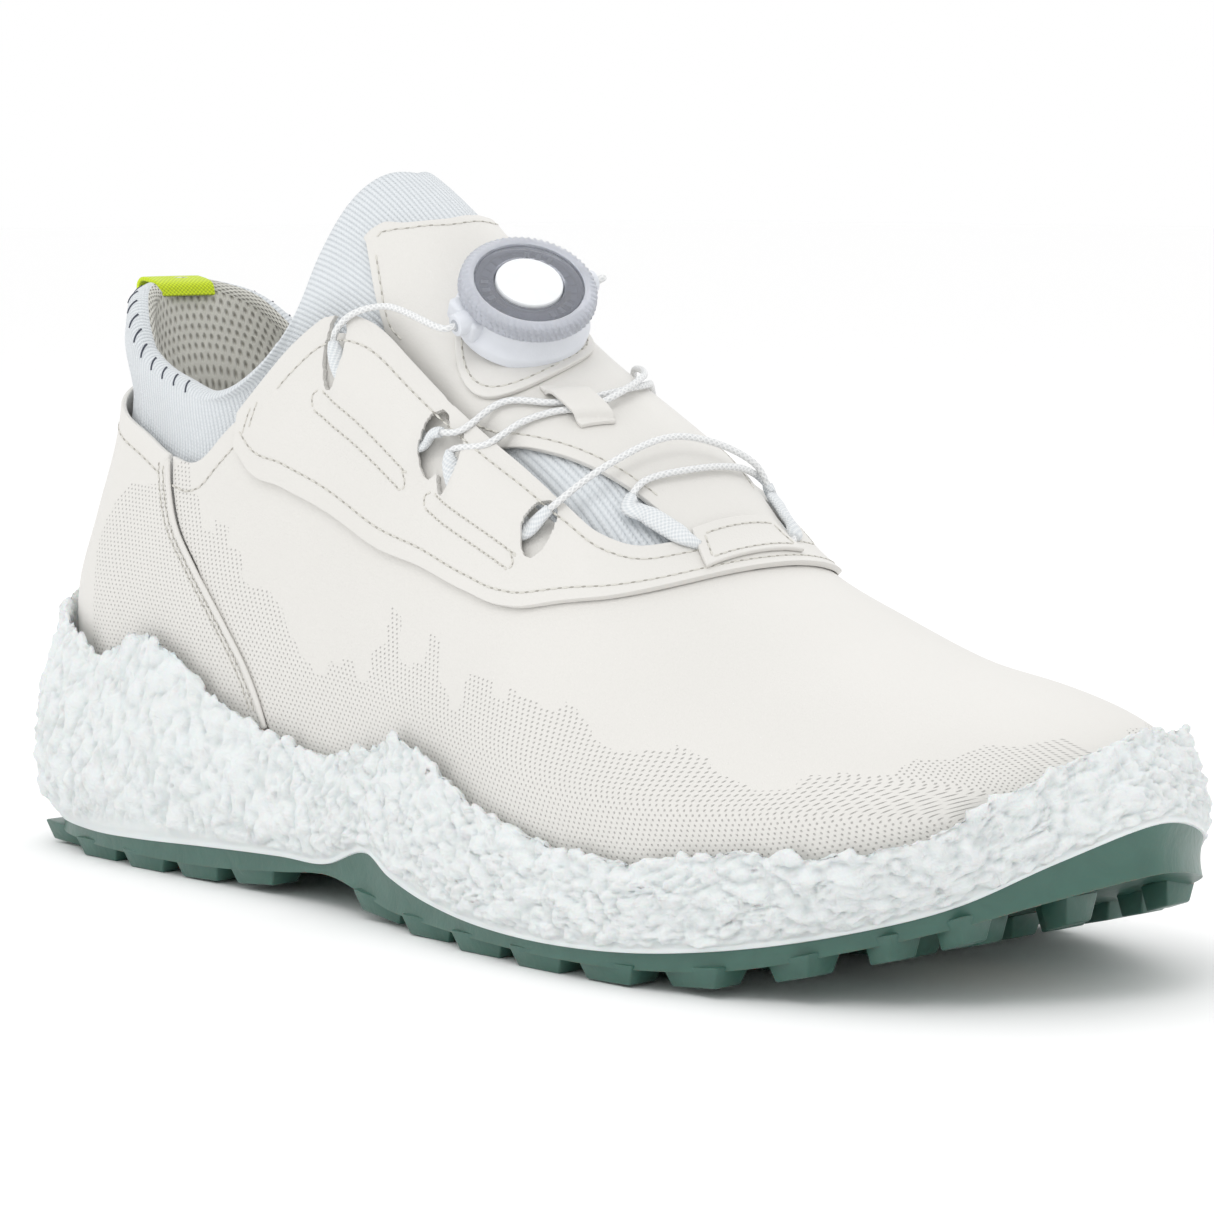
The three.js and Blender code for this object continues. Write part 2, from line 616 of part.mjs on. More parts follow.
// The knit lies under the leather and swells out to the surface past the leather's edge.
const SWELL = [0.1, 0.55];      // share of the knit's free height over which it swells
function knitOut(u, v) {
  const top = Math.abs(u) < U_TONGUE ? rimAt(u) : 1;
  const share = (v - edgeAt(u)) / (top - edgeAt(u));
  const past = ease((share - SWELL[0]) / (SWELL[1] - SWELL[0]));
  const throat = ease((THROAT_X - 1 - stationX(u)) / 8);
  return mix(KNIT_IN, -0.1, past * throat);
}

// Heights of the knit's rows: up to the leather's edge, then on to the rim.
const HEM = 0.05;
const FREE_ROWS = [0.1, 0.35, 0.6, 1];
const knitRows = (u, top) => [...steps(HEM, edgeAt(u) - 0.09, 3),
  ...FREE_ROWS.map((t) => mix(edgeAt(u), top, t))];
const halfRound = (us) => [...us.map((u) => -u), 0, ...[...us].reverse()];
const COLLAR_US = halfRound([103, 95, 84, 72, 62, 54, 46, 37, 28, 19, 9]);

function knitBootie() {
  const climb = [113, 111, 108.5, 106];
  const us = [...climb.map((u) => -u), ...COLLAR_US, ...[...climb].reverse()];
  const around = us.map((u) => knitRows(u, rimAt(u)).map((v) => [u, v]));
  const over = steps(stationX(U_TONGUE), THROAT_X + 12, 10).map((x) => {
    const [lateral, medial] = [-1, 1].map((side) => knitRows(stationU(x, side), 1)
      .map((v) => [stationU(x, side), v]));
    return [...lateral, ...medial.reverse().slice(1)];
  });
  return sheet([around, over], knitOut, (u, v) => knitOut(u, v) - KNIT);
}

const padOut = (u, v) => knitOut(u, v) - KNIT - LINER_GAP;
const liningOut = (u, v) => padOut(u, v) - PADDING - LAYER_GAP;
const innerRows = (hem) => COLLAR_US.map((u) => [...hem(u),
  ...FREE_ROWS.map((t) => mix(edgeAt(u), rimAt(u), t * 0.93))].map((v) => [u, v]));

const collarPadding = () => sheet([innerRows((u) => [edgeAt(u) - 0.09])],
  padOut, (u, v) => padOut(u, v) - PADDING);

const collarLining = () => sheet([innerRows((u) => steps(0.18, edgeAt(u) - 0.09, 2))],
  liningOut, (u, v) => liningOut(u, v) - LINING);

// A webbing loop stitched astride the back of the collar and pressed flat above it.
function pullTab() {
  const outside = (u, dv) => knitOut(u, rimAt(u) + Math.min(dv, 0)) + LAYER_GAP;
  const inside = (u, dv) => liningOut(u, rimAt(u) + Math.min(dv, 0)) - LINING - 2 * LAYER_GAP;
  const leg = [-0.05, -0.025, 0.008];
  const fold = [[0.024, -0.5, -1.4], [0.042, -1.6, -2.5], [0.052, -2.3, -2.7],
    [0.053, -3.2, -2.9], [0.042, -4.0, -3.1], [0.024, -5.2, -4.3]];
  const us = steps(-TAB_WIDTH / 2, TAB_WIDTH / 2, 4);
  const column = (u) => [
    ...leg.map((dv) => [dv, outside(u, dv) + TAB_THICKNESS, outside(u, dv)]),
    ...fold,
    ...[...leg].reverse().map((dv) => [dv, inside(u, dv) - TAB_THICKNESS, inside(u, dv)]),
  ];
  const path = column(0);
  const layer = (side) => us.flatMap((u) => column(u).map((p) => at(u, rimAt(u) + p[0], p[side])
    .toArray()));
  const n = path.length;
  const faces = us.slice(1).flatMap((_, i) => range(n - 1).flatMap((j) => {
    const a = i * n + j;
    return [[a, a + n, a + n + 1], [a, a + n + 1, a + 1]];
  }));
  return between(layer(1), layer(2), faces);
}

// ---------------------------------------------------------------- tongue and its closure
const tongueLow = (u) => {
  const ahead = ease((stationX(u) - DIAL_X - 8) / 40);
  return u < 0 ? mix(0.68, 0.80, ahead) : mix(0.80, 0.86, ease((stationX(u) + 40) / 60));
};

const tongueOverlay = () => sheet([arch(steps(-41, 33, 10), tongueLow, 4)],
  LEATHER + LAYER_GAP, LAYER_GAP);
const TONGUE_TOP = LEATHER + 2 * LAYER_GAP;

function ovalGrid(centreX, centreW, lengthX, widthV, rings, sides) {
  return range(rings + 1).map((k) => range(sides + 1).map((i) => {
    const angle = (2 * Math.PI * i) / sides;
    const x = centreX + (k / rings) * lengthX * Math.cos(angle);
    const w = centreW + (k / rings) * widthV * Math.sin(angle);
    return [stationU(x, w < 0 ? -1 : 1), 1 - Math.abs(w)];
  }));
}

const dialPatch = () => sheet([ovalGrid(DIAL_X + 1, -DIAL_SIDE, 13.5, 0.2, 4, 24)],
  TONGUE_TOP + LEATHER, TONGUE_TOP);

// A leather strap on the tongue that keeps the crossing laces in line.
function laceKeeper() {
  const middle = stationU(KEEPER_X, 1);
  const grid = [-6.5, -4.2, -3.2, 3.2, 4.2, 6.5].map((du) => [0.86, 0.90, 0.94].map(
    (v) => [-(middle + du), v]));
  const lift = (u) => (Math.abs(Math.abs(u) - middle) < 3.5 ? KEEPER_RISE : 0);
  return sheet([grid], (u) => TONGUE_TOP + LEATHER + lift(u), (u) => TONGUE_TOP + lift(u));
}

// ---------------------------------------------------------------- the lace and its guides
// Each guide runs between two openings in the facing, [u, v] from its first end to its last.
const GUIDES = {
  upper: [[121, 0.585], [129, 0.592], [138, 0.598], [146, 0.605]],
  middle: [[158, 0.605], [165, 0.610], [173, 0.615], [180, 0.62]],
};
const GUIDE_HEIGHT = 2.1;       // offset of a guide's axis over the leather
const guidePoint = (side) => ([u, v]) => at(side * u, v, GUIDE_HEIGHT);

// A webbing guide round the stretch of the lace that starts and ends at the given points.
function laceGuide(points, cutBack = 0.2) {
  const route = lacePath();
  const curve = new THREE.CatmullRomCurve3(route, false, 'centripetal');
  const place = (p) => route.findIndex((q) => q.distanceTo(p) < 1e-6) / (route.length - 1);
  const [first, final] = [place(points[0]), place(points[points.length - 1])].sort((a, b) => a - b);
  const trim = (final - first) * cutBack;
  const stretch = steps(first + trim, final - trim, 5).map((t) => curve.getPoint(t));
  return tube(stretch, LACE_RADIUS + GUIDE_PLAY + GUIDE_WALL, 7, 5, LACE_RADIUS + GUIDE_PLAY);
}
const sideGuide = (side, name) => laceGuide(GUIDES[name].map(guidePoint(side)));

// The openings cut in the facing overlay where a guide comes out.
function guideEnds(side) {
  return Object.values(GUIDES).flatMap((guide) => [guide[0], guide[guide.length - 1]])
    .map(([u, v], i) => {
      const out = i % 2 === 0 ? -1 : 1;
      const centre = side * (u + (out * NOTCH) / 2);
      const reach = NOTCH / 2;
      const corners = (offset) => [[-reach, -0.016], [reach, -0.016], [reach, 0.2], [-reach, 0.2]]
        .map(([du, dv]) => at(centre + du, v + dv, offset).toArray());
      return block(corners(-0.3), corners(9));
    });
}

// The base guides stand on the throat's gusset, one on each side.
const baseGuidePoints = (side) => [[194, 0.795], [197, 0.815], [201, 0.838], [204, 0.855]]
  .map(([u, v]) => at(side * u, v, GUIDE_HEIGHT));

// ---------------------------------------------------------------- the dial
// The dial's frame: its z axis is the knob's axis, its y axis points to the medial side.
const dialPlace = [stationU(DIAL_X, -1), 1 - DIAL_SIDE];
const dialFoot = at(...dialPlace, TONGUE_TOP + LEATHER + 4 * DIAL_GAP);
const dialAxis = normal(...dialPlace);
const dialAhead = new THREE.Vector3(0, 1, 0).cross(dialAxis).normalize();
const dialFrame = new THREE.Matrix4().makeBasis(
  dialAhead, dialAxis.clone().cross(dialAhead), dialAxis,
).setPosition(dialFoot);
const toDial = dialFrame.clone().invert();
const inDial = (x, y, z) => new THREE.Vector3(x, y, z).applyMatrix4(dialFrame);

const HOUSING_RADIUS = 12.3;
const CAVITY_RADIUS = 10.2;
const HOUSING_TOP = 4.6;
const CAVITY_FLOOR = 1.4;
const PORT_Z = 3.0;             // height of the lace ports over the tongue
const PORT_REACH = 16.5;        // how far a port stands out from the dial's axis

// Depth of the patch's skin below a point of the dial's plane.
function skinBelow(x, y, offset) {
  let station = DIAL_X + x * dialAxis.z;
  let w = y / 60 - DIAL_SIDE;
  const local = (s, k) => at(stationU(s, k < 0 ? -1 : 1), 1 - Math.abs(k), offset)
    .applyMatrix4(toDial);
  for (let i = 0; i < 12; i += 1) {
    const p = local(station, w);
    station += (x - p.x) * 0.75;
    w += (y - p.y) / 62;
  }
  return local(station, w).z;
}

function dialHousing() {
  const sides = 2 * RATCHET_TEETH;
  const turn = (i) => (2 * Math.PI * i) / sides;
  const ring = (r, z) => range(sides).map((i) => {
    const radius = typeof r === 'function' ? r(i) : r;
    const [x, y] = [radius * Math.cos(turn(i)), radius * Math.sin(turn(i))];
    return [x, y, typeof z === 'function' ? z(x, y) : z];
  });
  const skirt = (x, y) => Math.min(skinBelow(x, y, TONGUE_TOP + LEATHER + 2.5 * DIAL_GAP), 0);
  const tooth = (i) => CAVITY_RADIUS - (i % 2 ? 0.45 : 0);
  const cup = solidOf(stack([ring(4, skirt), ring(8.5, skirt), ring(HOUSING_RADIUS, skirt),
    ring(HOUSING_RADIUS, HOUSING_TOP), ring(tooth, HOUSING_TOP), ring(tooth, CAVITY_FLOOR)]));
  const alongY = (r, from, to) => indexed(new THREE.CylinderGeometry(r, r, to - from, 10)
    .translate(0, (from + to) / 2, PORT_Z));
  const bore = LACE_RADIUS + GUIDE_PLAY + 0.15;
  return geometryFrom(cup.add(solidOf(alongY(bore + 0.5, CAVITY_RADIUS + 0.6, PORT_REACH)))
    .add(solidOf(alongY(bore + 0.5, -PORT_REACH, -CAVITY_RADIUS - 0.6)))
    .subtract(solidOf(alongY(bore, CAVITY_RADIUS - 2, PORT_REACH + 2)))
    .subtract(solidOf(alongY(bore, -PORT_REACH - 2, 2 - CAVITY_RADIUS))));
}

const SPOOL_RADIUS = 9.2;
const SPOOL_CORE = 6.4;
const SPOOL_LOW = CAVITY_FLOOR + DIAL_GAP;
const SPOOL_HIGH = HOUSING_TOP - 0.3;
const SCREW_RADIUS = 1.9;
const dialSpool = () => lathe([[SCREW_RADIUS + 0.4, SPOOL_LOW], [SPOOL_RADIUS, SPOOL_LOW],
  [SPOOL_RADIUS, SPOOL_LOW + 0.3], [SPOOL_CORE, SPOOL_LOW + 0.45],
  [SPOOL_CORE, SPOOL_HIGH - 0.45], [SPOOL_RADIUS, SPOOL_HIGH - 0.3],
  [SPOOL_RADIUS, SPOOL_HIGH], [SCREW_RADIUS + 0.4, SPOOL_HIGH],
  [SCREW_RADIUS + 0.4, SPOOL_LOW]], 24);

// The pawl disc: a plate over the spool with springy pawls round its edge.
const DISC_LOW = HOUSING_TOP + DIAL_GAP;
const DISC_HIGH = DISC_LOW + 0.8;
function pawlDisc() {
  const outline = range(24).map((i) => {
    const r = [9.6, 9.6, 8.6, 8.2][i % 4];
    const a = (Math.PI * i) / 12;
    return new THREE.Vector2(r * Math.cos(a), r * Math.sin(a));
  });
  const shape = new THREE.Shape(outline);
  const hole = range(12).map((i) => new THREE.Vector2(Math.cos((Math.PI * i) / 6),
    Math.sin((Math.PI * i) / 6)).multiplyScalar(SCREW_RADIUS + 0.4));
  shape.holes.push(new THREE.Path(hole));
  const plate = new THREE.ExtrudeGeometry(shape, { depth: DISC_HIGH - DISC_LOW,
    bevelEnabled: false });
  return indexed(plate.translate(0, 0, DISC_LOW));
}

const CAP_RADIUS = 6.9;
const WINDOW_RADIUS = 11.0;
const KNOB_LOW = DISC_HIGH + DIAL_GAP;
const GRIP_LOW = HOUSING_TOP + 0.6;
const centreScrew = () => lathe([[0, SPOOL_LOW], [SCREW_RADIUS, SPOOL_LOW],
  [SCREW_RADIUS, DISC_HIGH - 0.2], [0, DISC_HIGH - 0.2]], 12);

function gripRing() {
  const sides = 2 * GRIP_TEETH;
  const profile = [[DIAL_RADIUS, GRIP_LOW], [DIAL_RADIUS, DIAL_HEIGHT - 0.9],
    [DIAL_RADIUS - 1.2, DIAL_HEIGHT], [WINDOW_RADIUS + DIAL_GAP, DIAL_HEIGHT],
    [WINDOW_RADIUS + DIAL_GAP, KNOB_LOW], [HOUSING_RADIUS, GRIP_LOW], [DIAL_RADIUS, GRIP_LOW]];
  const points = range(sides).flatMap((i) => profile.map(([r, z], k) => {
    const rib = i % 2 && (k < 2 || k === profile.length - 1) ? 0.4 : 0;
    const a = (2 * Math.PI * i) / sides;
    return [(r - rib) * Math.cos(a), (r - rib) * Math.sin(a), z];
  }));
  const n = profile.length;
  const faces = range(sides).flatMap((i) => range(n - 1).flatMap((k) => {
    const [a, b] = [i * n + k, ((i + 1) % sides) * n + k];
    return [[a, b, b + 1], [a, b + 1, a + 1]];
  }));
  return closedBody(points, faces);
}

const knobWindow = () => lathe([[CAP_RADIUS + DIAL_GAP, KNOB_LOW], [WINDOW_RADIUS, KNOB_LOW],
  [WINDOW_RADIUS, DIAL_HEIGHT - 0.3], [CAP_RADIUS + DIAL_GAP, DIAL_HEIGHT - 0.3],
  [CAP_RADIUS + DIAL_GAP, KNOB_LOW]], 32);
const knobCap = () => lathe([[0, KNOB_LOW], [CAP_RADIUS, KNOB_LOW],
  [CAP_RADIUS, DIAL_HEIGHT - 0.35], [CAP_RADIUS - 0.4, DIAL_HEIGHT], [0, DIAL_HEIGHT]], 32);

// ---------------------------------------------------------------- the lace
// The lace's route, from the lateral port of the dial, twice across the tongue, round the
// throat's base and back to the medial port.
function lacePath() {
  const along = (guide, side, back) => {
    const points = GUIDES[guide].map(guidePoint(side));
    return back ? points.reverse() : points;
  };
  const over = (side, list) => list.map(([u, v, h]) => at(side * u, v, h));
  const port = (side) => [SPOOL_CORE + 1.3, PORT_REACH - 4, PORT_REACH, PORT_REACH + 2.5].map(
    (y) => inDial(0, side * y, PORT_Z));
  const hook = (side) => over(side, [[128, 0.70, 4.4], [120.5, 0.65, 3.8], [117.6, 0.612, 2.8]]);
  return [
    ...port(-1), ...hook(-1), ...along('upper', -1, false),
    ...over(-1, [[149, 0.632, 3.0], [153, 0.68, 3.4], [163, 0.77, 3.6], [173.2, 0.86, 3.2],
      [173.8, 0.92, 3.2]]),
    ...over(1, [[172, 0.95, 3.0], [163, 0.80, 3.6], [157, 0.69, 3.4], [155, 0.632, 3.0]]),
    ...along('middle', 1, false),
    ...over(1, [[183.5, 0.645, 2.8], [188, 0.72, 2.8], [192, 0.88, 2.8]]),
    ...over(-1, [[193, 0.95, 2.8], [192, 0.84, 2.6]]),
    ...baseGuidePoints(-1),
    ...over(-1, [[208, 0.90, 2.6]]), ...over(1, [[209.5, 0.985, 2.8], [208, 0.91, 2.6]]),
    ...baseGuidePoints(1).reverse(),
    ...over(1, [[191, 0.84, 4.4]]), ...over(-1, [[188, 0.96, 5.0], [187, 0.80, 4.6],
      [184, 0.67, 3.4]]),
    ...along('middle', -1, true),
    ...over(-1, [[155, 0.632, 3.0], [154.5, 0.68, 4.2], [160, 0.77, 5.4], [170.6, 0.86, 5.2],
      [171.4, 0.92, 5.2]]),
    ...over(1, [[170, 0.95, 5.2], [158, 0.80, 5.4], [151.5, 0.69, 4.2], [149, 0.632, 3.0]]),
    ...along('upper', 1, true), ...hook(1).reverse(), ...port(1).reverse(),
  ];
}

const lace = () => tube(lacePath(), LACE_RADIUS, 6, 80);

// A stiffening plate let into the foam under the arch.
const shankPlate = (play) => floorPlate(SHANK_INSET - play, -1.7 - play, -0.1 + 3 * play,
  -92 - play, -6 + play);

const material = (color, roughness, metalness = 0, extra = {}) => new THREE.MeshStandardMaterial(
  { color, roughness, metalness, ...extra });

const shoe = new THREE.Group();
function add(parent, name, geometry, look) {
  const mesh = new THREE.Mesh(geometry, look);
  mesh.name = name;
  parent.add(mesh);
}

const LEATHER_WHITE = '#e6e7e8';
const KNIT_WHITE = '#e3e7ea';
const FOAM_WHITE = '#dde4e4';
const SOLE_GREEN = '#3a5b52';
const CREAM = '#e1e2dd';
const LIME = '#e6f35d';

add(shoe, 'outsole', outsole(), material(SOLE_GREEN, 0.45));
add(shoe, 'midsole', midsole(), material(FOAM_WHITE, 0.75));
add(shoe, 'shank_plate', shankPlate(0), material('#2b2d2f', 0.5));
add(shoe, 'insole_board', floorPlate(6.2, BOARD_LIFT, BOARD_LIFT + BOARD, -108, 132),
  material('#c8b89a', 0.9));
add(shoe, 'sock_liner', floorPlate(6.2, SOCK_LIFT, SOCK_LIFT + SOCK, -108, 130),
  material('#3c3d3a', 0.95));
add(shoe, 'vamp_quarter', vampQuarter(), material(LEATHER_WHITE, 0.55));
add(shoe, 'heel_panel', heelPanel(), material(LEATHER_WHITE, 0.55));
add(shoe, 'seam_piping_lateral', seamPiping(-1), material(LEATHER_WHITE, 0.6));
add(shoe, 'seam_piping_medial', seamPiping(1), material(LEATHER_WHITE, 0.6));
add(shoe, 'facing_overlay_lateral', facingOverlay(-1), material(LEATHER_WHITE, 0.55));
add(shoe, 'facing_overlay_medial', facingOverlay(1), material(LEATHER_WHITE, 0.55));
add(shoe, 'throat_patch', throatPatch(), material(LEATHER_WHITE, 0.55));
add(shoe, 'heel_counter', heelCounter(), material('#b9b3a6', 0.8));
add(shoe, 'toe_puff', toePuff(), material('#b9b3a6', 0.8));
add(shoe, 'knit_bootie', knitBootie(), material(KNIT_WHITE, 0.95));
add(shoe, 'collar_padding', collarPadding(), material('#d8d4c4', 0.95));
add(shoe, 'collar_lining', collarLining(), material(CREAM, 0.95));
add(shoe, 'pull_tab', pullTab(), material(LIME, 0.8));
add(shoe, 'tongue_overlay', tongueOverlay(), material(LEATHER_WHITE, 0.55));
add(shoe, 'dial_patch', dialPatch(), material(LEATHER_WHITE, 0.55));
add(shoe, 'lace_keeper', laceKeeper(), material(LEATHER_WHITE, 0.55));
[[-1, 'lateral'], [1, 'medial']].forEach(([side, word]) => {
  add(shoe, `guide_upper_${word}`, sideGuide(side, 'upper'), material('#f4f5f6', 0.9));
  add(shoe, `guide_middle_${word}`, sideGuide(side, 'middle'), material('#f4f5f6', 0.9));
  add(shoe, `guide_base_${word}`, laceGuide(baseGuidePoints(side), 0.3), material('#f4f5f6', 0.9));
});

add(shoe, 'lace', lace(), material('#f7f8f8', 0.85));

const dial = new THREE.Group();
dial.applyMatrix4(dialFrame);
shoe.add(dial);
add(dial, 'dial_housing', dialHousing(), material('#f2f3f4', 0.4));
add(dial, 'dial_spool', dialSpool(), material('#c9ccce', 0.4));
add(dial, 'pawl_disc', pawlDisc(), material('#8d9296', 0.4));
add(dial, 'centre_screw', centreScrew(), material('#b9bcc0', 0.3, 1));
add(dial, 'grip_ring', gripRing(), material('#d8dbe4', 0.25));
add(dial, 'knob_window', knobWindow(), material('#aeb2ba', 0.2));
add(dial, 'knob_cap', knobCap(), material('#fcffff', 0.35));

// The origin is the centre of the plan, on the ground.
const bounds = new THREE.Box3().setFromObject(shoe, true);
const centre = bounds.getCenter(new THREE.Vector3());
shoe.position.set(-centre.x, -centre.y, -bounds.min.z);

export default shoe;
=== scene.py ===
"""Looks of a low golf shoe with a ratchet-dial lacing system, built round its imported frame."""

import json
import math

import bmesh
import bpy
import numpy as np
from bpy.props import FloatProperty, PointerProperty, StringProperty
from mathutils import Matrix, Vector, noise


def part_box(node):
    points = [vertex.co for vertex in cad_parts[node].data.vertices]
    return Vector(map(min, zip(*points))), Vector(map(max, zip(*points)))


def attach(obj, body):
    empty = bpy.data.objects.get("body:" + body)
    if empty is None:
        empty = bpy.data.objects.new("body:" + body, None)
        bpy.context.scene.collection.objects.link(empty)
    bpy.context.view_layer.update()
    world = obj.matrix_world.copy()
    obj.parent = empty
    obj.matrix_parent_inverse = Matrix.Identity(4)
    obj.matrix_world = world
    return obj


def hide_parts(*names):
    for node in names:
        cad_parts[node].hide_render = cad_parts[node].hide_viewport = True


bl_info = {
    "name": "Dial-laced golf shoe",
    "version": (1, 0, 0),
    "blender": (4, 5, 0),
    "location": "View3D > Sidebar > Shoe",
    "description": "Models the finished surfaces of a golf shoe over its frame",
    "category": "Mesh",
}

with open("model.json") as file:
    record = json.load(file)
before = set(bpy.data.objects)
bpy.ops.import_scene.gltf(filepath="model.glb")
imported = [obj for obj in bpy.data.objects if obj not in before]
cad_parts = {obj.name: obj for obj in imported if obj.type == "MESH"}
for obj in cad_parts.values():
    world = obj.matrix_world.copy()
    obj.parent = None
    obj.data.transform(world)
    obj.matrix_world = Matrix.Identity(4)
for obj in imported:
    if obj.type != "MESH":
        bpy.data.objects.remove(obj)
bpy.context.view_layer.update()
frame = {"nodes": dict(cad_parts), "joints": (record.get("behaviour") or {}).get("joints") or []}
DIAL_JOINT = next(j for j in frame["joints"] if j["name"] == "dial_turn")

MM = 0.001
V_MM = 75.0          # length up the last, mm, of one unit of height v or of w
ROUND_MM = 820.0     # length round the sole's rim, mm

# ---------------------------------------------------------------- the last surface, mm
# A point is addressed by u, its station round the shoe, 0 at the back of the heel, negative on
# the lateral side, and by v, its height, 0 at the feather line and 1 on the instep's ridge.
HEEL_X = -108.0
HEEL_ARC = 50.0
TOE_X = 100.0
TIP_X, TIP_Z = 144.0, 30.0
FEATHER_ANGLE = 25.0
LAST_ORIGIN = np.array([1.1725, 1.0625, 0.0])  # where the last's origin lies in the shoe's frame
LAST_BOTTOM_X = HEEL_X - HEEL_ARC


def spline(knots):
    """A smooth curve through [position, value] knots, for single values and for arrays."""
    at = np.array([k[0] for k in knots], float)
    value = np.array([k[1] for k in knots], float)
    step = np.diff(at)
    slope = (np.diff(value, axis=0).T / step).T
    tangent = np.empty_like(value)
    tangent[0], tangent[-1] = slope[0], slope[-1]
    before, after = step[:-1], step[1:]
    tangent[1:-1] = ((slope[:-1].T * after + slope[1:].T * before) / (before + after)).T

    def curve(x):
        x = np.asarray(x, float)
        i = np.clip(np.searchsorted(at, x, side="right") - 1, 0, len(at) - 2)
        h = step[i]
        t = (x - at[i]) / h
        h, t = (np.asarray(a)[..., None] if value.ndim > 1 else a for a in (h, t))
        return (
            (2 * t**3 - 3 * t**2 + 1) * value[i]
            + (t**3 - 2 * t**2 + t) * h * tangent[i]
            + (3 * t**2 - 2 * t**3) * value[i + 1]
            + (t**3 - t**2) * h * tangent[i + 1]
        )

    return curve


LATERAL = spline([[-108, 32], [-80, 34.5], [-50, 35.5], [-20, 38], [10, 44], [40, 50], [70, 52],
                  [100, 48], [144, 44]])
MEDIAL = spline([[-108, 32], [-80, 33.5], [-50, 33], [-20, 34], [10, 40], [40, 46], [70, 49],
                 [100, 46], [144, 40]])
RIDGE_Y = spline([[-108, 0], [-50, 0], [0, 2], [40, 4], [70, 6], [100, 9], [144, 10]])
RIDGE_Z = spline([[-108, 150], [-80, 153], [-50, 151], [-33, 141], [-8, 119], [30, 93.7],
                  [50, 76], [70, 66], [90, 58.5], [110, 55], [144, 52]])
WIDEST_Z = spline([[-108, 36], [-50, 34], [0, 30], [60, 27], [100, 29], [144, 34]])
FEATHER_Z = spline([[-108, 22], [-50, 20], [0, 17], [60, 13], [100, 16], [144, 24]])
FULLNESS = spline([[-108, 2.2], [-60, 2.2], [-30, 2.0], [40, 2.0], [80, 2.2], [144, 2.4]])
BACK = spline([[15, 33], [40, 37], [58, 37.5], [75, 28], [95, 17.5], [112, 21], [130, 24]])


def station_x(u):
    """The x of a station beyond the heel's arc."""
    return np.where(np.abs(u) > HEEL_ARC, HEEL_X + np.abs(u) - HEEL_ARC, HEEL_X)


def last_point(u, v):
    """Points of the last surface, mm."""
    u, v = np.broadcast_arrays(np.asarray(u, float), np.asarray(v, float))
    side = np.where(u < 0, -1.0, 1.0)
    x = np.minimum(station_x(u), TIP_X)
    reach = np.clip((x - TOE_X) / (TIP_X - TOE_X), 0, 1)
    close = (1 - reach**2.6) ** (1 / 2.2)
    half = np.where(side < 0, LATERAL(x), MEDIAL(x))
    top, widest, feather = (TIP_Z + (f(x) - TIP_Z) * close for f in (RIDGE_Z, WIDEST_Z, FEATHER_Z))
    power = 2 / FULLNESS(x)
    angle = np.radians(-FEATHER_ANGLE + v * (90 + FEATHER_ANGLE))
    across = np.clip(np.cos(angle), 0, 1) ** power
    rise = np.clip(np.sin(angle), 0, 1) ** power
    y = RIDGE_Y(x) * (1 - across + across * reach**2) + side * half * across * close
    turned = np.sin(angle) / math.sin(math.radians(FEATHER_ANGLE))
    z = np.where(angle > 0, widest + (top - widest) * rise, widest + (widest - feather) * turned)
    turn = np.radians(90 * (1 - np.clip(np.abs(u) / HEEL_ARC, 0, 1)))
    c = np.clip(np.cos(turn), 1e-9, 1) / np.maximum(np.abs(y), 1e-3)
    s = np.clip(np.sin(turn), 1e-9, 1) / BACK(z)
    r = 1 / (c**2.15 + s**2.15) ** (1 / 2.15)
    heel = np.abs(u) < HEEL_ARC
    x = np.where(heel, HEEL_X - r * np.sin(turn), x)
    y = np.where(heel, side * r * np.cos(turn), y)
    return np.stack([x, y, z], -1) + LAST_ORIGIN


def last_normal(u, v):
    """Outward normals of the last surface."""
    u, v = np.asarray(u, float), np.asarray(v, float)
    along = last_point(u + 0.2, v) - last_point(u - 0.2, v)
    up = last_point(u, np.minimum(v + 0.02, 1)) - last_point(u, np.maximum(v - 0.02, 0))
    n = np.cross(up, along)
    return n / (np.linalg.norm(n, axis=-1, keepdims=True) + 1e-12)


def lifted(u, v, lift):
    """Points at a height over the last surface, mm."""
    return last_point(u, v) + last_normal(u, v) * np.asarray(lift, float)[..., None]


def over(x, w):
    """The u and v of a point given by its x and by w, its distance from the ridge, lateral < 0."""
    x, w = np.broadcast_arrays(np.asarray(x, float), np.asarray(w, float))
    return np.where(w < 0, -1.0, 1.0) * (x - LAST_BOTTOM_X), 1 - np.abs(w)


def ease(x):
    """A smooth step from 0 to 1."""
    t = np.clip(x, 0, 1)
    return t * t * (3 - 2 * t)


def mix(a, b, t):
    """The value a share t of the way from a to b."""
    return a + (b - a) * t


MEASURE_U = np.linspace(-302, 302, 303)
MEASURE_V = np.linspace(0, 1, 61)


def measure_last():
    """Tables of the lengths along and up the last surface at each station and height, mm."""
    grid_u, grid_v = np.meshgrid(MEASURE_U, MEASURE_V, indexing="ij")
    points = last_point(grid_u, grid_v)
    up = np.linalg.norm(np.diff(points, axis=1), axis=-1)
    height = np.concatenate([np.zeros((len(MEASURE_U), 1)), np.cumsum(up, 1)], 1)
    along = np.linalg.norm(np.diff(points, axis=0), axis=-1)
    length = np.concatenate([np.zeros((1, len(MEASURE_V))), np.cumsum(along, 0)], 0)
    middle = len(MEASURE_U) // 2
    return length - length[middle], height


LENGTHS, HEIGHTS = measure_last()


